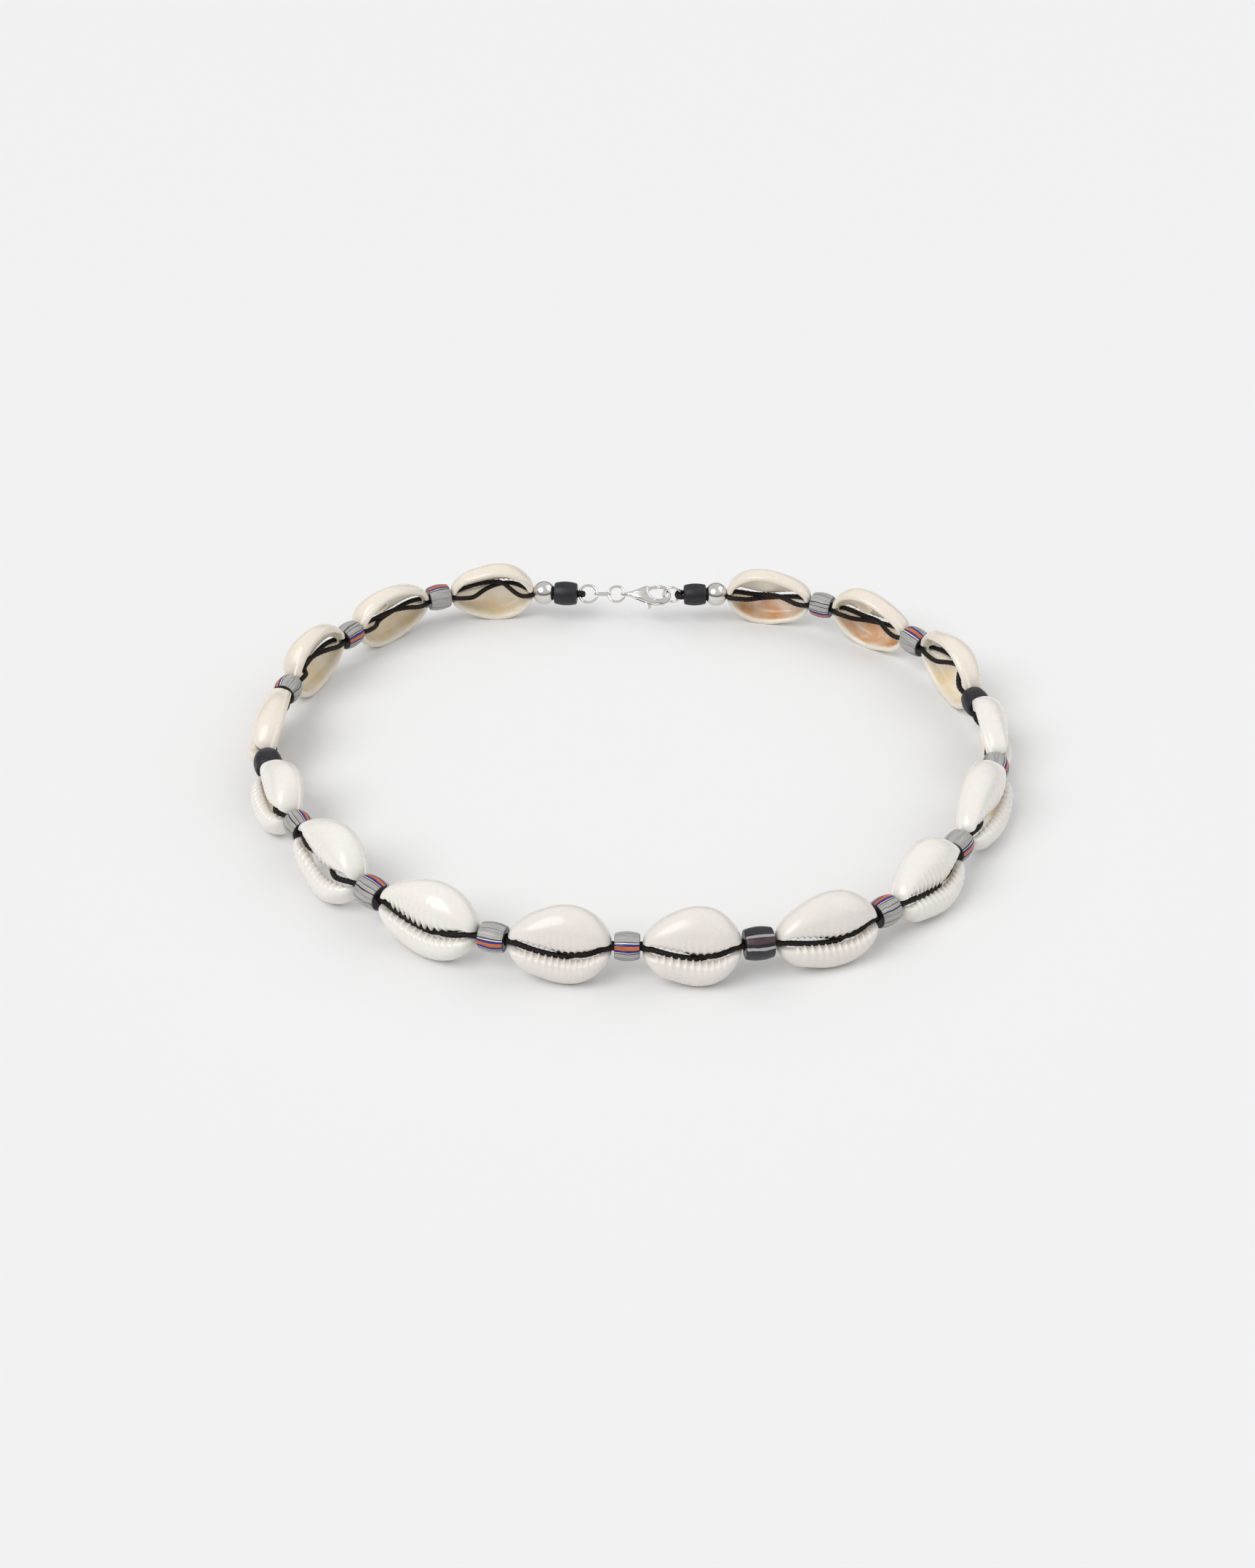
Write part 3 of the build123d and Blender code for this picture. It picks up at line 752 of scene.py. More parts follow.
@dataclass(frozen=True)
class StripedGlass:
    """Drawn glass with stripes along the bead: shares round the bead, and their colours."""

    name: str
    stripes: tuple
    ground: tuple = (0.40, 0.395, 0.38)
    core: tuple = (0.012, 0.010, 0.012)
    streak: float = 0.6

    def build(self, groups: Groups) -> bpy.types.Material:
        """Builds the material."""
        material, bench, shader = start_material(self.name)
        uv = bench.add("ShaderNodeUVMap", uv_map="Around")
        split = bench.add("ShaderNodeSeparateXYZ", {0: uv.outputs[0]})
        wobble = bench.add("ShaderNodeTexNoise", {"Vector": uv.outputs[0], "Scale": 2.0, "Detail": 1.0})
        shift = bench.math("MULTIPLY", bench.math("SUBTRACT", wobble.outputs[0], 0.5), 0.035)
        around = bench.math("FRACT", bench.math("ADD", split.outputs[0], shift))
        stops = [(0.0, self.ground)]
        for place, width, colour in self.stripes:
            stops += [(place, colour), (place + width, self.ground)]
        merged = {}
        for place, colour in stops:
            merged[round(place, 4)] = colour
        ramp = bench.ramp(around, sorted(merged.items()), "CONSTANT")
        drawn = bench.add("ShaderNodeMapping", {"Vector": uv.outputs[0], "Scale": (34.0, 0.5, 1.0)})
        fibres = bench.add("ShaderNodeTexNoise", {"Vector": drawn.outputs[0], "Scale": 1.0, "Detail": 5.0,
                                                  "Roughness": 0.75})
        lines = bench.spread(fibres.outputs[0], 0.36, 0.60, 0.0, 1.0)
        pale = bench.mix(self.streak, ramp, bench.ramp(lines, [
            (0.0, (0.16, 0.15, 0.15)), (0.25, (0.62, 0.61, 0.60)), (0.6, (0.95, 0.95, 0.94)),
            (1.0, (1.25, 1.25, 1.22))]), "MULTIPLY")
        colour = bench.mix(bench.attribute("core"), pale, (*self.core, 1.0))
        place = bench.add("ShaderNodeTexCoord")
        fine = place_group(bench, groups.surface, {"Vector": place.outputs["Object"], "Grain size": 2500.0,
                                                   "Wear size": 700.0})
        gloss = bench.spread(fine.outputs["Wear"], 0.3, 0.7, 0.30, 0.50)
        height = bench.math("ADD", bench.math("MULTIPLY", fibres.outputs[0], 0.7),
                            bench.math("MULTIPLY", fine.outputs["Height"], 0.3))
        connect(bench, shader, colour, gloss, bench.bump(height, 0.25, 0.0002))
        shader.inputs["Coat Weight"].default_value = 0.2
        return material


@dataclass(frozen=True)
class PlainFinish:
    """One-coloured finish with grain, wear and a little drift in its colour."""

    name: str
    pale: tuple
    deep: tuple
    roughness: float
    spread: float = 0.1
    metallic: float = 0.0
    grain: float = 1500.0
    relief: float = 0.1
    amount: float = 0.7

    def build(self, groups: Groups) -> bpy.types.Material:
        """Builds the material."""
        material, bench, shader = start_material(self.name)
        place = bench.add("ShaderNodeTexCoord")
        where = place.outputs["Object"]
        drift = place_group(bench, groups.clouds, {"Vector": where, "Size": 400.0, "Pale": self.pale,
                                                   "Deep": self.deep, "Amount": self.amount})
        fine = place_group(bench, groups.surface, {"Vector": where, "Grain size": self.grain,
                                                   "Wear size": self.grain / 4})
        gloss = bench.spread(fine.outputs["Wear"], 0.3, 0.7, self.roughness, self.roughness + self.spread)
        normal = bench.bump(fine.outputs["Height"], self.relief, 0.0001)
        connect(bench, shader, drift.outputs[0], gloss, normal)
        shader.inputs["Metallic"].default_value = self.metallic
        return material


@dataclass(frozen=True)
class CordFinish:
    """Waxed braid: near black, with plaits that follow the cord; painted shade darkens the plaits' grooves
    below paler, browner crests, varied by wear.
    """

    name: str = "waxed_braid"
    pale: tuple = (0.020, 0.012, 0.010, 1.0)
    deep: tuple = (0.004, 0.003, 0.003, 1.0)

    def build(self, groups: Groups) -> bpy.types.Material:
        """Builds the material."""
        material, bench, shader = start_material(self.name)
        relief = bench.attribute("plait")
        place = bench.add("ShaderNodeTexCoord")
        fine = place_group(bench, groups.surface, {"Vector": place.outputs["Object"], "Grain size": 5200.0,
                                                   "Wear size": 900.0})
        # Painted shade: the plaits' grooves go black and their crests a paler brown, varied by wear noise
        share = bench.math("MULTIPLY", relief, fine.outputs["Wear"])
        share = bench.math("MULTIPLY", share, 1.9, clamp=True)
        colour = bench.mix(share, self.deep, self.pale)
        gloss = bench.spread(fine.outputs["Wear"], 0.3, 0.7, 0.42, 0.68)
        connect(bench, shader, colour, gloss, bench.bump(fine.outputs["Height"], 0.5, 0.0001))
        shader.inputs["Specular IOR Level"].default_value = 0.28
        return material


# Cowrie shells

# Outline seen on the aperture: share along the shell, share of its half width
OUTLINE = [
    (0.000, 0.00), (0.006, 0.16), (0.025, 0.31), (0.060, 0.43), (0.110, 0.545), (0.200, 0.705),
    (0.300, 0.835), (0.370, 0.905), (0.450, 0.965), (0.540, 1.00), (0.630, 0.985), (0.710, 0.945),
    (0.780, 0.86), (0.840, 0.76), (0.910, 0.58), (0.960, 0.405), (0.988, 0.22), (1.000, 0.00),
]

# Front of the wall from the aperture's edge out to the margin: share outwards, share of full height
FRONT = [(0.00, 0.52), (0.04, 0.70), (0.10, 0.86), (0.20, 0.965), (0.36, 1.00), (0.55, 0.95),
         (0.74, 0.79), (0.90, 0.50), (0.985, 0.20), (1.00, -0.04)]

# Cut rim from the margin in to the hole: share outwards from the hole's edge, place across the wall
RIM = [(0.93, 0.35), (0.76, BACK_CUT - 0.32), (0.55, BACK_CUT - 0.04), (0.25, BACK_CUT - 0.04),
       (0.02, BACK_CUT - 0.35), (-0.06, BACK_CUT - 1.1)]

# Hollow from the hole's edge in to the aperture: share outwards, share of the way to the rim
HOLLOW = [(0.99, 0.52), (0.88, 0.22), (0.55, 0.03), (0.15, 0.0)]
LIP_THICKNESS = 1.7
FEWEST_TEETH = 13


@dataclass
class Cowrie:
    """A cowrie shell with its back cut off, strung through its aperture.

    The wall is one closed skin: it runs round the aperture, over the lips and the margin to the
    cut rim, and through the hollow back to the aperture.
    """

    number: int
    length: float
    width: float
    turned: bool
    placement: Placement
    teeth: int
    rib: float
    slit: float
    upper_teeth: float
    whorl: bool
    depth: float = 4.15
    tooth_height: float = 0.24
    sag: float = 1.3                # how far the aperture's line sinks below the cord
    aperture_share: float = 0.44    # half of the aperture's length over the shell's
    hole_shares: tuple = (0.86, 0.80)
    columns: int = 400
    around: int = 46

    def loops(self, turn: np.ndarray) -> tuple[np.ndarray, np.ndarray, np.ndarray]:
        """Places the three loops that the wall hangs on.

        Args:
            turn: Angle round the shell, 0 at the narrow tip and pi at the broad end.

        Returns:
            Points of the aperture's edge, the margin and the edge of the back's hole, in x and z.
        """
        along = -np.cos(turn)
        side = np.sign(np.sin(turn))
        reach = self.aperture_share * self.length
        gap = self.slit * (1 + 0.25 * np.clip(-along, 0, 1)) * (1 + 0.12 * side)
        near_end = reach * (1 - np.abs(along))
        round_end = np.sqrt(np.clip(2 * gap * near_end - near_end**2, 0, None))
        half_gap = np.where(near_end < gap, round_end, gap)
        sink = self.sag * np.clip(1 - along**2, 0, None) ** 1.5 * (1 + 0.8 * along)
        aperture = np.stack([reach * along, side * half_gap - sink], axis=1)

        stations = np.array([row[0] for row in OUTLINE])
        halves = np.array([row[1] for row in OUTLINE])
        angles = np.arccos(1 - 2 * stations)
        folded = np.arccos(np.clip(-along, -1, 1))
        share = np.interp(folded, angles, halves)
        window = np.hanning(17)
        window /= window.sum()
        signed = side * share
        padded = np.concatenate([signed[-8:], signed, signed[:8]])
        signed = np.convolve(padded, window, mode="valid")
        lower_fuller = 1 + 0.10 * (side < 0) * np.exp(-(((along + 0.72) / 0.22) ** 2))
        margin = np.stack([self.length / 2 * along, signed * lower_fuller * self.width / 2], axis=1)
        hole = margin * np.array(self.hole_shares)
        return aperture, margin, hole

    def skin(self, turn: np.ndarray, round_wall: np.ndarray) -> tuple[np.ndarray, np.ndarray, np.ndarray]:
        """Places the wall's skin.

        Args:
            turn: Angle round the shell of each column.
            round_wall: Share round the wall's section of each row, from the aperture's edge outwards.

        Returns:
            Points by column and row, how far each is inside the hollow, and how much painted shade each gets
            at the aperture's edge between the lips.
        """
        aperture, margin, hole = self.loops(turn)
        along = -np.cos(turn)
        side = np.sign(np.sin(turn))
        end_share = np.abs(np.sin(turn)) ** 0.55
        height = self.depth * (0.30 + 0.70 * end_share * (0.86 + 0.16 * along)) * (1 - 0.10 * along**4)
        rng = np.random.default_rng(40 + self.number)
        phase = rng.uniform(0, FULL_TURN, 6)
        drift = sum(0.035 * np.sin((k + 1) * turn + phase[k]) for k in range(4))
        height = height * (1 + drift)

        beat = 0.5 + 0.5 * np.cos(self.teeth * math.pi * (along * (1 + 0.06 * np.sin(2 * turn)) + 1)
                                  + phase[4] + 1.3 * side)
        extent = smooth_step(-0.93, -0.72, along) * (1 - smooth_step(0.80, 0.95, along))
        ridge = beat**1.1 * extent
        tip = beat**2.2 * extent
        lower = (side < 0).astype(float)
        upper_fade = 1 - smooth_step(0.0, 0.75, along)
        strength = self.tooth_height * (lower * 1.15 + (1 - lower) * (0.22 + self.upper_teeth * upper_fade))

        rows = []
        for out, share in FRONT:
            point = aperture + (margin - aperture) * out
            y = -SET_OUT - height * share
            bite = tip * np.exp(-((out / 0.10) ** 2)) * 1.9 * strength
            reach = 0.22 + 0.10 * (1 - lower) * min(self.upper_teeth, 1.0)
            swell = ridge * np.exp(-(((out - 0.12) / reach) ** 2)) * 0.62 * strength
            swell += self.rib * lower * ridge * np.exp(-(((out - 0.45) / 0.35) ** 2))
            z = point[:, 1] - side * bite
            rows.append(np.stack([point[:, 0], y - swell, z], axis=1))

        for out, y in RIM:
            point = hole + (margin - hole) * out
            rows.append(np.stack([point[:, 0], np.full(len(turn), y), point[:, 1]], axis=1))
        for out, share in HOLLOW:
            point = aperture + (hole - aperture) * out
            front = -SET_OUT - height + LIP_THICKNESS
            y = front + (BACK_CUT - 0.9 - front) * share
            rows.append(np.stack([point[:, 0], y, point[:, 1]], axis=1))
        table = np.stack(rows, axis=1)
        count = table.shape[1]

        place = (round_wall * count) % count
        base = np.floor(place).astype(int)
        t = (place - base)[None, :, None]
        p0, p1, p2, p3 = (table[:, (base + k) % count] for k in (-1, 0, 1, 2))
        points = 0.5 * (2 * p1 + (p2 - p0) * t + (2 * p0 - 5 * p1 + 4 * p2 - p3) * t**2
                        + (3 * p1 - p0 - 3 * p2 + p3) * t**3)

        # The strands' channels at both ends, on the front and across the cut rim
        x, y, z = points[..., 0], points[..., 1], points[..., 2]
        end = np.abs(x) / (self.length / 2)
        channel = (1 - smooth_step(0.55, 1.15, np.abs(z))) * smooth_step(0.70, 0.86, end)
        floor = -0.42 + 0.36 * smooth_step(0.86, 1.0, end)
        y = np.where(y < floor, y + (floor - y) * channel, y)
        top = 0.52 - 0.38 * smooth_step(0.70, 1.0, end)
        points[..., 1] = np.where(y > top, y + (top - y) * channel, y)

        index = place[None, :] * np.ones((len(turn), 1))
        first_in = len(FRONT) + len(RIM) - 2.0
        inside = smooth_step(first_in - 0.2, first_in + 1.0, index)
        # Share of painted shade, strongest on both faces of the lips at the aperture's edge
        painted_slit_shade = np.exp(-((index / 1.3) ** 2)) + np.exp(-(((count - index) / 1.2) ** 2))
        return points, inside, np.clip(painted_slit_shade, 0, 1)

    def build(self) -> bpy.types.Object:
        """Spins a ring with the wall's rows and columns and lays it on the shell's skin."""
        ring = bmesh.new()
        reach = 4.0
        spin_wire(ring, reach, 1.0, self.around, self.columns)
        places = np.array([vert.co[:] for vert in ring.verts])
        turn = np.round(np.arctan2(places[:, 1], places[:, 0]) / FULL_TURN * self.columns)
        turn = turn.astype(int) % self.columns
        lift = np.arctan2(places[:, 2], np.hypot(places[:, 0], places[:, 1]) - reach)
        row = np.round(lift / FULL_TURN * self.around).astype(int) % self.around
        angles = (np.arange(self.columns) + 0.5) / self.columns * FULL_TURN
        points, inside, painted_slit_shade = self.skin(angles, np.arange(self.around) / self.around)
        flip = -1.0 if self.turned else 1.0
        for vert, column, wall in zip(ring.verts, turn, row):
            x, y, z = points[column, wall]
            vert.co = (flip * x, y, flip * z)
        heights = np.array([vert.co.z for vert in ring.verts])
        if self.whorl:
            self.add_whorl(ring)
        piece = finish_mesh(ring, f"cowrie_{self.number:02d}", self.placement.matrix())
        seat = inside[turn, row] * smooth_step(0.05, 0.30, -heights / self.width)
        extra = len(piece.data.vertices) - len(row)
        set_float(piece.data, "inside", np.append(inside[turn, row], np.ones(extra)))
        # Painted shade at the aperture's edge; the whorl gets none
        set_float(piece.data, "painted_slit_shade", np.append(painted_slit_shade[turn, row], np.zeros(extra)))
        set_float(piece.data, "seat", np.append(seat, np.full(extra, 0.25)))
        return piece

    def add_whorl(self, shell: bmesh.types.BMesh) -> None:
        """Adds the inner whorl that the cut lays bare: an open scoop with a thick rolled edge."""
        scoop = bmesh.new()
        bmesh.ops.create_uvsphere(scoop, u_segments=28, v_segments=20, radius=1.0)
        whole = scoop.verts[:] + scoop.edges[:] + scoop.faces[:]
        bmesh.ops.bisect_plane(scoop, geom=whole, plane_co=(0.1, 0.22, 0), plane_no=(0.45, 1.0, -0.25),
                               clear_outer=True)
        bmesh.ops.recalc_face_normals(scoop, faces=scoop.faces)
        size = Matrix.Diagonal((0.17 * self.length, 1.5, 0.15 * self.width, 1))
        bmesh.ops.transform(scoop, matrix=size, verts=scoop.verts)
        bmesh.ops.solidify(scoop, geom=scoop.faces[:], thickness=0.55)
        soften(scoop, 2)
        place = Vector((0.17 * self.length, -1.9, 0.17 * self.width))
        flip = Matrix.Rotation(math.pi, 4, "Y") if self.turned else Matrix.Identity(4)
        bmesh.ops.transform(scoop, matrix=flip @ Matrix.Translation(place), verts=scoop.verts)
        mesh = bpy.data.meshes.new("whorl")
        scoop.to_mesh(mesh)
        scoop.free()
        shell.from_mesh(mesh)
        bpy.data.meshes.remove(mesh)


@dataclass
class Shells:
    """All cowries, with their finishes."""

    pieces: list[Threaded]
    groups: Groups

    def finishes(self) -> dict[Tone, bpy.types.Material]:
        """Builds the shells' materials, one for each tone."""
        cool = ShellFinish("cowrie_cool", 0.35, pale=(0.82, 0.78, 0.74, 1.0), deep=(0.80, 0.745, 0.68, 1.0))
        white = ShellFinish("cowrie_white", 0.35, pale=(0.87, 0.84, 0.795, 1.0), deep=(0.86, 0.81, 0.75, 1.0))
        cream = ShellFinish("cowrie_cream", 0.6)
        warm = ShellFinish("cowrie_warm", 0.7, seat_colour=(0.74, 0.36, 0.12, 1.0))
        looks = {Tone.COOL: cool, Tone.WHITE: white, Tone.CREAM: cream, Tone.WARM: warm}
        return {tone: finish.build(self.groups) for tone, finish in looks.items()}

    def build(self) -> None:
        """Builds and dresses each shell."""
        finishes = self.finishes()
        shells = [piece for piece in self.pieces if isinstance(piece.row, ShellRow)]
        for number, piece in enumerate(shells, start=1):
            row = piece.row
            shell = Cowrie(number, SHELL_LENGTH * row.length, SHELL_WIDTH * row.width,
                           row.lay is Lay.TURNED, piece.placement, teeth=FEWEST_TEETH + number % 3,
                           rib=row.rib, slit=row.slit, upper_teeth=row.upper_teeth, whorl=row.whorl)
            dress(shell.build(), finishes[row.tone], "cowrie_shell", piece.node)


# Glass, silver and end beads

@dataclass
class Bead:
    """Round bead turned from a profile, with a rim, a bore and stripes along it."""

    name: str
    length: float
    diameter: float
    end_share: float
    placement: Placement
    bore: float = 1.15
    rounding: float = 0.45
    stripe_turn: float = 0.0
    segments: int = 48

    def profile(self) -> list[tuple[float, float]]:
        """Half section from the bore's edge over the side: places along and out."""
        half = self.length / 2
        end = self.diameter / 2 * self.end_share
        belly = self.diameter / 2
        mouth = [(-half + 0.5, self.bore), (-half + 0.12, self.bore + 0.03), (-half, self.bore + 0.15)]
        mouth.append((-half, end - self.rounding))
        for k in range(1, 6):
            turn = math.pi / 2 * k / 5
            mouth.append((-half + self.rounding * (1 - math.cos(turn)),
                          end - self.rounding * (1 - math.sin(turn))))
        inner = half - self.rounding
        side = []
        for k in range(1, 8):
            x = -inner + 2 * inner * k / 8
            side.append((x, end + (belly - end) * (1 - (x / inner) ** 2)))
        return mouth + side + [(-x, out) for x, out in reversed(mouth)]

    def build(self) -> bpy.types.Object:
        """Spins the profile round the cord's line and lays a map round it."""
        turned = bmesh.new()
        turn_profile(turned, self.profile(), self.segments)
        layer = turned.loops.layers.uv.new("Around")
        for face in turned.faces:
            angles = [math.atan2(loop.vert.co.z, loop.vert.co.y) / FULL_TURN for loop in face.loops]
            if max(angles) - min(angles) > 0.5:
                angles = [angle + 1 if angle < 0 else angle for angle in angles]
            for loop, angle in zip(face.loops, angles):
                loop[layer].uv = (angle + self.stripe_turn, loop.vert.co.x / self.length)
        end = self.diameter / 2 * self.end_share
        out = [math.hypot(vert.co.y, vert.co.z) for vert in turned.verts]
        along = [abs(vert.co.x) / (self.length / 2) for vert in turned.verts]
        core = [1.0 if (r < end - 0.5 * self.rounding and a > 0.5) or r < self.bore + 0.3 else 0.0
                for r, a in zip(out, along)]
        piece = finish_mesh(turned, self.name, self.placement.matrix())
        set_float(piece.data, "core", np.array(core))
        return piece


@dataclass
class SilverBead:
    """Round silver bead with a flat round its bore."""

    name: str
    length: float
    diameter: float
    placement: Placement
    bore: float = 0.85
    steps: int = 24
    segments: int = 64

    def build(self) -> bpy.types.Object:
        """Spins the bead's half section round the cord's line."""
        ball = bmesh.new()
        radius = self.diameter / 2
        reach = self.length / 2
        mouth = [(-reach + 0.5, self.bore), (-reach + 0.05, self.bore), (-reach, self.bore + 0.12)]
        start = math.acos(reach / radius)
        side = []
        for k in range(self.steps + 1):
            turn = start + (math.pi - 2 * start) * k / self.steps
            side.append((-radius * math.cos(turn), radius * math.sin(turn)))
        turn_profile(ball, mouth + side + [(-x, out) for x, out in reversed(mouth)], self.segments)
        return finish_mesh(ball, self.name, self.placement.matrix())


# Colours of the stripes
WHITE = (0.78, 0.77, 0.74)
BLUE = (0.012, 0.010, 0.20)
ORANGE = (0.60, 0.155, 0.025)
PLUM = (0.030, 0.014, 0.030)
PALE_BAND = (0.34, 0.33, 0.34)

# One group of stripes: start and width in shares round the bead, and colour
GROUP = [(0.000, 0.014, PLUM), (0.014, 0.010, WHITE), (0.024, 0.028, BLUE), (0.052, 0.044, ORANGE),
         (0.096, 0.028, BLUE), (0.124, 0.010, WHITE), (0.134, 0.012, PLUM)]


def stripe_group(start: float) -> tuple:
    """Stripes of one group, from a share round the bead."""
    return tuple((start + place, width, colour) for place, width, colour in GROUP)


STRIPED = StripedGlass("striped_glass", stripes=(
    *stripe_group(0.06), (0.262, 0.010, PLUM), (0.31, 0.016, PLUM), (0.43, 0.008, PLUM),
    *stripe_group(0.56), (0.76, 0.008, PLUM), (0.83, 0.014, PLUM), (0.95, 0.006, PLUM)))
STRIPED_PLUM = StripedGlass("striped_glass_plum", stripes=(
    *stripe_group(0.10), (0.30, 0.055, PLUM), (0.375, 0.012, PLUM), *stripe_group(0.62)))
BANDED = StripedGlass("banded_glass", ground=(0.010, 0.008, 0.016), streak=0.35, stripes=(
    (0.100, 0.026, (0.36, 0.34, 0.35)), (0.142, 0.050, (0.060, 0.026, 0.036)),
    (0.228, 0.032, (0.44, 0.42, 0.43)), (0.58, 0.045, PALE_BAND), (0.74, 0.04, PALE_BAND)))
DARK = PlainFinish("dark_glass", (0.012, 0.012, 0.020, 1), (0.005, 0.004, 0.007, 1), 0.34, spread=0.20)
SILVER = PlainFinish("polished_silver", (0.80, 0.78, 0.75, 1), (0.70, 0.68, 0.65, 1), 0.08,
                     spread=0.07, metallic=1.0, grain=2500.0, relief=0.04)

BEAD_SLOTS = {BeadKind.STRIPED: "striped_glass", BeadKind.PLUM: "striped_glass",
              BeadKind.BANDED: "banded_dark_glass", BeadKind.DARK: "dark_glass",
              BeadKind.SILVER: "silver"}
GLASS_SHARE = 0.94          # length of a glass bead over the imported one's
ROUNDER = 1.03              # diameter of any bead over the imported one's
END_FACE = 0.90             # diameter of a glass bead's end over its middle


@dataclass
class Beads:
    """All beads on the cord."""

    pieces: list[Threaded]
    silver: bpy.types.Material
    groups: Groups

    def shape(self, piece: Threaded) -> Bead | SilverBead:
        """Returns the bead of a piece, ready to build."""
        row, name = piece.row, f"{piece.node}_dressed"
        if row.kind is BeadKind.SILVER:
            return SilverBead(name, row.length, row.diameter * ROUNDER, piece.placement)
        if isinstance(row, EndRow):
            return Bead(name, row.length, row.diameter * ROUNDER, END_FACE, piece.placement)
        return Bead(name, piece.seat * GLASS_SHARE, BEAD_DIAMETER * row.diameter * ROUNDER, END_FACE,
                    piece.placement, stripe_turn=row.turn)

    def build(self) -> None:
        """Builds and dresses each bead."""
        glasses = {BeadKind.STRIPED: STRIPED, BeadKind.PLUM: STRIPED_PLUM, BeadKind.BANDED: BANDED,
                   BeadKind.DARK: DARK}
        materials = {kind: glass.build(self.groups) for kind, glass in glasses.items()}
        materials[BeadKind.SILVER] = self.silver
        for piece in self.pieces:
            if isinstance(piece.row, ShellRow):
                continue
            kind = piece.row.kind
            dress(self.shape(piece).build(), materials[kind], BEAD_SLOTS[kind], piece.node)


# Cord strands

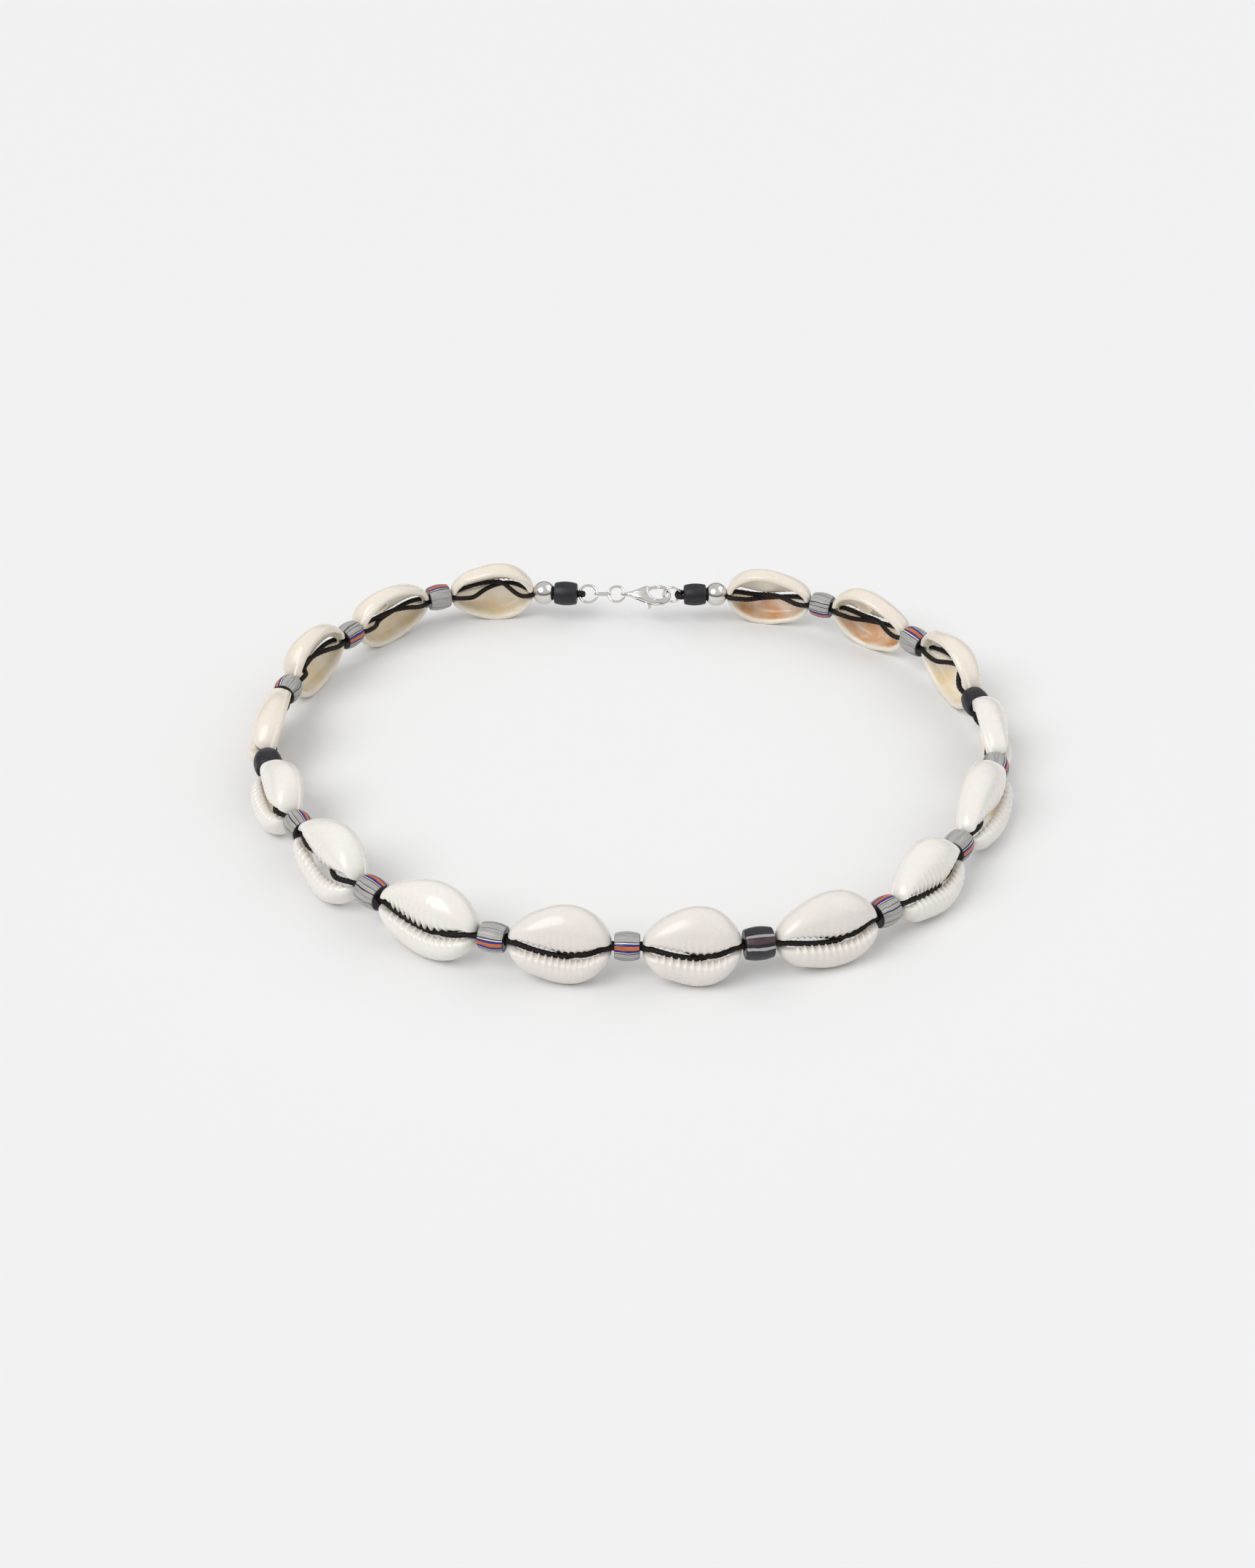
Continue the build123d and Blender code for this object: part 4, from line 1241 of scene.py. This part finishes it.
@dataclass
class CordPair:
    """Both strands of the cord, each laid through every piece."""

    pieces: list[Threaded]
    findings: Matrix
    groups: Groups
    radius: float = 0.55
    plait: float = 0.10
    twist: float = 3.4              # turn of the braid's plaits in one millimetre
    meeting: float = 0.08           # half the gap where the strands meet behind a ring's wire

    def route(self, strand: Strand) -> list[Vector]:
        """Points that one strand follows, in millimetres; it changes sides in every shell."""
        points = self.loop(END_RING_FAR, FINDING_TILT, -1, strand)[::-1]
        side = strand.value
        for piece in self.pieces:
            if isinstance(piece.row, ShellRow):
                lane = self.shell_lane(piece.length, side > 0, piece.row.lay)
                side = -side
            else:
                lane = self.bead_lane(piece.row.lay, piece.length, side)
            matrix = piece.placement.matrix()
            points += [matrix @ point for point in lane]
        return points + self.loop(HOOK_RING_NEAR, HOOK_RING_TILT, 1, strand)

    def shell_lane(self, length: float, starts_inside: bool, lay: Lay) -> list[Vector]:
        """Lays a strand through a shell.

        Args:
            length: Length of the shell.
            starts_inside: Whether the strand starts over the back rim, or else in the aperture.
            lay: Way in which the strands go through this shell.

        Returns:
            Points of the strand in the shell's own frame.
        """
        outer = [(-0.43, -OUTER_LANE, 0.0), (-0.33, -2.0, -0.3), (-0.20, -2.35, -0.95),
                 (-0.02, -2.35, -1.6), (0.12, -2.0, -1.9), (0.24, 0.2, -0.9), (0.33, 1.15, 0.0),
                 (0.42, INNER_LANE, 0.0)]
        inner = [(-0.42, INNER_LANE, 0.0), (-0.33, 1.2, 0.1), (-0.22, 0.5, 0.6), (-0.10, -1.3, -0.1),
                 (0.02, -2.1, -0.75), (0.18, -2.4, -1.35), (0.31, -2.1, -0.85), (0.43, -OUTER_LANE, 0.0)]
        if lay is Lay.CROSSED:
            outer = [(-0.43, -OUTER_LANE, 0.0), (-0.33, -2.0, -0.3), (-0.24, -1.9, -0.6),
                     (-0.08, -0.6, -0.3), (0.10, 0.7, 0.3), (0.30, 1.2, 0.1), (0.42, INNER_LANE, 0.0)]
            inner = [(-0.42, INNER_LANE, 0.0), (-0.30, 1.2, 0.0), (-0.12, 0.5, -0.2), (0.06, -0.9, -0.9),
                     (0.20, -2.1, -1.5), (0.31, -2.1, -0.9), (0.43, -OUTER_LANE, 0.0)]
        chosen = inner if starts_inside else outer
        if lay is Lay.TURNED:
            mirror = outer if starts_inside else inner
            chosen = [(-x, y, -z) for x, y, z in reversed(mirror)]
        return [Vector((x * length, y, z)) for x, y, z in chosen]

    def bead_lane(self, lay: Lay, length: float, side: int) -> list[Vector]:
        """Points through a bead, turned at the end beads to meet the rings' wires."""
        left, right = FINDING_TILT + BEAD_LEAN, HOOK_RING_TILT + BEAD_LEAN
        mouths = ((0, LANE), (0, LANE))
        if lay is Lay.END_LEFT:
            mouths = ((left, LOOP_OFFSET), (left / 2, LANE))
        elif lay is Lay.END_RIGHT:
            mouths = ((right / 2, LANE), (right, LOOP_OFFSET))
        points = []
        for x, (angle, offset) in zip((-0.45 * length, 0.45 * length), mouths):
            turn = math.radians(angle)
            points.append(Vector((x, side * offset * math.cos(turn), side * offset * math.sin(turn))))
        return points

    def loop(self, place: float, tilt: float, direction: int, strand: Strand) -> list[Vector]:
        """Half of the cord's turn round an end ring's wire, from the bead outwards."""
        matrix = on_stretch(self.findings, place, tilt)
        side = strand.value
        return [matrix @ Vector((-direction * LOOP_OFFSET / 2, 0, side * LOOP_OFFSET)),
                matrix @ Vector((direction * LOOP_OFFSET, 0, side * LOOP_OFFSET)),
                matrix @ Vector((direction * LOOP_OFFSET, 0, side * self.meeting))]

    def build(self) -> None:
        """Builds both strands."""
        material = CordFinish().build(self.groups)
        for strand, node in ((Strand.A, "cord_strand_a"), (Strand.B, "cord_strand_b")):
            dress(self.strand(strand, node), material, "waxed_cord", node)

    def strand(self, strand: Strand, node: str) -> bpy.types.Object:
        """Builds one strand as a plaited tube along a smooth route."""
        sides = 10
        tube = tube_along(f"{node}_route", self.route(strand), self.radius, resolution=13, closed=False)
        tube.verts.ensure_lookup_table()
        places = np.array([vert.co[:] for vert in tube.verts])
        rings = len(places) // sides
        grid = places[: rings * sides].reshape(rings, sides, 3)
        middle = grid.mean(axis=1, keepdims=True)
        length = np.concatenate([[0], np.cumsum(np.linalg.norm(np.diff(middle[:, 0], axis=0), axis=1))])
        turn = np.arange(sides) / sides * FULL_TURN
        twist = length[:, None] * self.twist
        wave = 0.5 * np.cos(2 * turn[None, :] - twist) + 0.5 * np.cos(2 * turn[None, :] + twist)
        plait = np.abs(wave)
        grid = middle + (grid - middle) * (1 + self.plait * (2 * plait[..., None] - 1) / self.radius * 0.5)
        flat = grid.reshape(-1, 3)
        for vert, place in zip(tube.verts, flat):
            vert.co = place
        relief = np.concatenate([plait.reshape(-1), np.zeros(len(places) - rings * sides)])
        LOG.info("%s: %.0f mm long", node, length[-1])
        piece = finish_mesh(tube, f"{node}_braid", Matrix.Identity(4))
        # The plaits' relief, which the braid's material also turns into painted shade in their grooves
        set_float(piece.data, "plait", relief)
        return piece


# Findings

# Round rings: node, middle along the stretch, tilt and radius to the middle of the wire
RINGS = [
    ("ring_end", END_RING_NEAR + END_RING_RADIUS, FINDING_TILT, END_RING_RADIUS),
    ("ring_middle", MIDDLE_RING_NEAR + MIDDLE_RING_RADIUS, FINDING_TILT, MIDDLE_RING_RADIUS),
    ("ring_hook", HOOK_RING_NEAR + HOOK_RING_RADIUS, HOOK_RING_TILT, HOOK_RING_RADIUS),
]

# Outlines in the clasp's own frame: x to the hook, y up its face, and whether there is a corner
BODY_OUTLINE = [
    (0.22, 2.62, True), (-0.45, 2.55, False), (-2.2, 1.85, False), (-4.1, 1.15, False),
    (-4.75, 1.05, False), (-4.75, 0.12, False), (-4.1, 0.0, False), (-2.5, -0.62, False),
    (-0.4, -1.45, False), (1.2, -1.92, False), (2.6, -2.02, False), (3.95, -1.72, False),
    (4.98, -0.85, False), (5.34, 0.35, False), (5.05, 1.55, False), (4.25, 2.40, False),
    (3.2, 2.74, False), (2.36, 2.72, True), (2.34, 2.00, True), (3.2, 1.92, False),
    (3.95, 1.55, False), (4.22, 0.85, False), (3.95, 0.10, False), (3.1, -0.42, False),
    (2.0, -0.42, False), (1.0, 0.0, False), (0.45, 0.75, False), (0.26, 1.6, True),
]
LEVER_OUTLINE = [
    (-1.78, 0.4, False), (-1.35, 1.08, False), (-0.35, 1.75, False), (0.35, 2.36, False),
    (1.2, 2.56, False), (2.12, 2.62, False), (2.26, 2.32, False), (2.10, 1.96, False),
    (1.2, 1.88, False), (0.5, 1.52, False), (0.0, 0.8, False), (-0.18, 0.0, False),
    (0.10, -1.1, False), (0.42, -1.85, False), (0.82, -2.25, False), (0.70, -2.72, False),
    (0.20, -2.82, False), (-0.20, -2.45, False), (-0.42, -1.8, False), (-0.75, -0.85, False),
    (-1.4, -0.30, False),
]


@dataclass
class Findings:
    """Lobster clasp, its lever, the rings and the small link."""

    stretch: Matrix
    silver: bpy.types.Material
    half_body: float = 0.85
    body_edge: float = 0.34
    half_lever: float = 0.30
    lever_edge: float = 0.16
    hook_thinned: float = 0.48      # share of the body's thickness that the hook loses
    neck_thinned: float = 0.2
    slot: tuple = (3.7, 12.0, 0.8)
    slot_middle: float = -0.75
    pivot: tuple = (-1.0, 0.4, 0.0)
    pin_radius: float = 0.35
    pin_length: float = 1.78
    eye_radius: float = 0.77
    eye_wire: float = 0.22
    grid: float = 0.075             # cell of the body's even mesh
    link_half: float = 1.12         # half of the link's straight sides

    def build(self) -> None:
        """Builds and dresses the findings."""
        for node, place, tilt, radius in RINGS:
            matrix = on_stretch(self.stretch, place, tilt)
            dress(self.ring(f"{node}_wire", radius, matrix), self.silver, "silver", node)
        dress(self.small_link(), self.silver, "silver", "link")
        place = on_stretch(self.stretch, CLASP_PLACE, FINDING_TILT) @ Matrix.Rotation(math.pi, 4, "Z")
        place = place @ Matrix.Translation((0, -EYE[1], 0))
        dress(self.clasp_body(place), self.silver, "silver", "clasp_body")
        dress(self.clasp_lever(place), self.silver, "silver", "clasp_lever", body=LEVER_BODY)

    def ring(self, name: str, radius: float, matrix: Matrix) -> bpy.types.Object:
        """Spins a round wire into a ring."""
        wire = bmesh.new()
        spin_wire(wire, radius, WIRE_RADIUS, sides=16, steps=72)
        return finish_mesh(wire, name, matrix)

    def small_link(self) -> bpy.types.Object:
        """Bends a wire into the long link between two rings."""
        bend = LINK_WIDTH / 2 - LINK_WIRE_RADIUS
        corners = []
        count = 16
        for k in range(count):
            turn = FULL_TURN * (k + 0.5) / count
            side = math.copysign(self.link_half, math.cos(turn))
            corners.append((side + bend * math.cos(turn), bend * math.sin(turn), 0))
        link = tube_along("link_route", corners, LINK_WIRE_RADIUS, resolution=16, closed=True)
        matrix = on_stretch(self.stretch, (MIDDLE_RING_FAR + END_RING_NEAR) / 2, FINDING_TILT)
        return finish_mesh(link, "link_wire", matrix @ Matrix.Rotation(math.pi / 2, 4, "X"))

    def plate(self, name: str, outline: list, half: float, edge: float) -> bmesh.types.BMesh:
        """Cuts a plate with rounded edges to a smooth outline.

        Args:
            name: Name of the curve.
            outline: Points round the plate: x, y and whether the outline has a corner there.
            half: Half of the plate's thickness.
            edge: Radius of its edges.

        Returns:
            The plate, in its own frame.
        """
        curve = bpy.data.curves.new(name, "CURVE")
        curve.dimensions = "2D"
        curve.fill_mode = "BOTH"
        curve.resolution_u = 10
        spline = curve.splines.new("BEZIER")
        spline.bezier_points.add(len(outline) - 1)
        for point, (x, y, corner) in zip(spline.bezier_points, outline):
            point.co = (x, y, 0)
            point.handle_left_type = point.handle_right_type = "VECTOR" if corner else "AUTO"
        spline.use_cyclic_u = True
        curve.extrude = half - edge
        curve.bevel_depth = edge
        curve.bevel_resolution = 4
        curve.offset = -edge
        cut = mesh_of_curve(curve)
        bmesh.ops.remove_doubles(cut, verts=cut.verts, dist=1e-4)
        bmesh.ops.recalc_face_normals(cut, faces=cut.faces)
        return cut

    def applied(self, piece: bpy.types.Object) -> bpy.types.Mesh:
        """Returns a piece's mesh with its modifiers applied, and clears them."""
        bpy.context.view_layer.update()
        shown = piece.evaluated_get(bpy.context.evaluated_depsgraph_get())
        mesh = bpy.data.meshes.new_from_object(shown)
        piece.modifiers.clear()
        return mesh

    def cut_slot(self, body: bpy.types.Object, place: Matrix) -> None:
        """Cuts the slot for the lever through the clasp's body."""
        slot = bmesh.new()
        bmesh.ops.create_cube(slot, size=1.0)
        bmesh.ops.scale(slot, vec=self.slot, verts=slot.verts)
        bmesh.ops.translate(slot, vec=(self.slot_middle, 0, 0), verts=slot.verts)
        cutter = finish_mesh(slot, "clasp_slot", place)
        cut = body.modifiers.new("slot", "BOOLEAN")
        cut.operation = "DIFFERENCE"
        cut.solver = "EXACT"
        cut.object = cutter
        body.data = self.applied(body)
        bpy.data.objects.remove(cutter)

    def eye_and_pin(self, place: Matrix) -> bpy.types.Mesh:
        """Returns the clasp's eye and the lever's pin as one mesh."""
        extra = bmesh.new()
        spin_wire(extra, self.eye_radius, self.eye_wire, sides=16, steps=72)
        upright = Matrix.Translation((*EYE, 0)) @ Matrix.Rotation(math.pi / 2, 4, "X")
        bmesh.ops.transform(extra, matrix=upright, verts=extra.verts)
        bmesh.ops.create_cone(extra, cap_ends=True, segments=24, radius1=self.pin_radius,
                              radius2=self.pin_radius, depth=self.pin_length,
                              matrix=Matrix.Translation(self.pivot))
        bmesh.ops.transform(extra, matrix=in_millimetres(place), verts=extra.verts)
        mesh = bpy.data.meshes.new("clasp_eye")
        extra.to_mesh(mesh)
        extra.free()
        return mesh

    def clasp_body(self, place: Matrix) -> bpy.types.Object:
        """Builds the clasp's body with its slot, hook, eye and pin."""
        plate = self.plate("clasp_outline", BODY_OUTLINE, self.half_body, self.body_edge)
        for vert in plate.verts:
            hook = float(smooth_step(0.9, 2.6, np.array(vert.co.x)))
            neck = float(smooth_step(2.2, 4.6, np.array(-vert.co.x)))
            vert.co.z *= (1 - self.hook_thinned * hook) * (1 - self.neck_thinned * neck)
        body = finish_mesh(plate, "clasp_body_cast", place)
        self.cut_slot(body, place)
        skin = body.modifiers.new("skin", "REMESH")
        skin.mode = "VOXEL"
        skin.voxel_size = self.grid * MM
        whole = bmesh.new()
        whole.from_mesh(self.applied(body))
        self.dome(whole, in_millimetres(place), BODY_OUTLINE)
        whole.from_mesh(self.eye_and_pin(place))
        for face in whole.faces:
            face.smooth = True
        whole.to_mesh(body.data)
        whole.free()
        body.data.set_sharp_from_angle(angle=math.radians(50))
        return body

    def dome(self, skin: bmesh.types.BMesh, place: Matrix, outline: list) -> None:
        """Rounds the faces of a flat plate.

        Args:
            skin: The plate as a fine even mesh, changed in place.
            place: Matrix from the plate's own frame.
            outline: Points round the plate that its faces fall away to.
        """
        reach, flat, swell = 1.5, 0.62, 0.52
        edge = np.array([point[:2] for point in outline])
        following = np.roll(edge, -1, axis=0)
        shares = np.linspace(0, 1, 12, endpoint=False)
        edge = (edge[:, None] + (following - edge)[:, None] * shares[None, :, None]).reshape(-1, 2)
        back = place.inverted()
        soften(skin, 4)
        for vert in skin.verts:
            x, y, z = back @ vert.co
            depth = min(float(np.hypot(edge[:, 0] - x, edge[:, 1] - y).min()) / reach, 1.0)
            fall = flat + swell * math.sqrt(1 - (1 - depth) ** 2)
            vert.co = place @ Vector((x, y, z * fall))
        soften(skin, 10)

    def clasp_lever(self, place: Matrix) -> bpy.types.Object:
        """Builds the sprung lever: gate above, thumb nub below."""
        lever = self.plate("lever_outline", LEVER_OUTLINE, self.half_lever, self.lever_edge)
        piece = finish_mesh(lever, "clasp_lever_cast", place)
        piece.data.set_sharp_from_angle(angle=math.radians(60))
        return piece


# Studio

@dataclass
class Studio:
    """Floor, light and camera."""

    floor_reach: float = 4000.0
    floor_depth: float = 0.02       # how far the floor lies under the necklace
    sky_strength: float = 0.67
    target: tuple = (-0.42, -12.28, 7.2)
    distance: float = 521.2
    elevation: float = 34.0
    focal_pixels: float = 3500.0
    picture: tuple = (1725, 2156)
    sensor: float = 36.0

    def build(self) -> None:
        """Builds the studio."""
        bpy.context.scene.view_settings.view_transform = "Standard"
        self.floor()
        self.lights()
        self.camera()

    def floor(self) -> None:
        """Lays a wide pale floor just under the necklace."""
        sheet = bmesh.new()
        bmesh.ops.create_grid(sheet, x_segments=2, y_segments=2, size=self.floor_reach)
        piece = finish_mesh(sheet, "floor", Matrix.Translation((0, 0, -self.floor_depth)))
        material, _, shader = start_material("pale_floor")
        shader.inputs["Base Color"].default_value = (0.86, 0.86, 0.86, 1)
        shader.inputs["Roughness"].default_value = 0.9
        shader.inputs["Specular IOR Level"].default_value = 0.1
        piece.data.materials.append(material)

    def lights(self) -> None:
        """Sets a surround that is bright above and two wide lamps."""
        world = bpy.data.worlds.new("surround")
        world.use_nodes = True
        bench = NodeBench(world.node_tree)
        sky = world.node_tree.nodes["Background"]
        place = bench.add("ShaderNodeTexCoord")
        split = bench.add("ShaderNodeSeparateXYZ", {0: place.outputs["Generated"]})
        shade = bench.ramp(bench.spread(split.outputs[2], -1.0, 1.0, 0.0, 1.0), [
            (0.0, (0.30, 0.30, 0.30)), (0.50, (0.10, 0.10, 0.105)), (0.60, (0.35, 0.35, 0.36)),
            (0.72, (1.0, 1.0, 1.0)), (1.0, (1.0, 1.0, 1.0))])
        bench.tree.links.new(shade, sky.inputs[0])
        sky.inputs[1].default_value = self.sky_strength
        bpy.context.scene.world = world
        self.sky_lamp("lamp_left", (-0.55, -0.45, 0.80), 1.33, 42.0)
        self.sky_lamp("lamp_right", (0.75, 0.10, 0.70), 0.44, 60.0)

    def sky_lamp(self, name: str, direction: tuple, power: float, spread: float) -> None:
        """Sets one wide distant lamp that shines from a direction."""
        light = bpy.data.lights.new(name, "SUN")
        light.energy = power
        light.angle = math.radians(spread)
        holder = bpy.data.objects.new(name, light)
        holder.rotation_euler = (-Vector(direction)).to_track_quat("-Z", "Y").to_euler()
        bpy.context.scene.collection.objects.link(holder)

    def camera(self) -> None:
        """Puts the camera where the photograph was taken from."""
        lens = bpy.data.cameras.new("camera")
        lens.sensor_width = self.sensor
        lens.lens = self.focal_pixels / max(self.picture) * self.sensor
        lens.clip_start = 0.01
        lens.clip_end = 20.0
        holder = bpy.data.objects.new("camera", lens)
        tilt = math.radians(self.elevation)
        forward = Vector((0, math.cos(tilt), -math.sin(tilt)))
        holder.location = (Vector(self.target) - forward * self.distance) * MM
        holder.rotation_euler = (math.pi / 2 - tilt, 0, 0)
        bpy.context.scene.collection.objects.link(holder)
        bpy.context.scene.camera = holder


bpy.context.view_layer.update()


def main() -> None:
    """Builds the necklace in order and stages it."""
    logging.basicConfig(level=logging.INFO, format="%(message)s")
    groups = Groups()
    pieces = string_order()
    findings = Layout(pieces).build()
    silver = SILVER.build(groups)
    Shells(pieces, groups).build()
    Beads(pieces, silver, groups).build()
    CordPair(pieces, findings, groups).build()
    Findings(findings, silver).build()
    Studio().build()


if __name__ == "__main__":
    main()
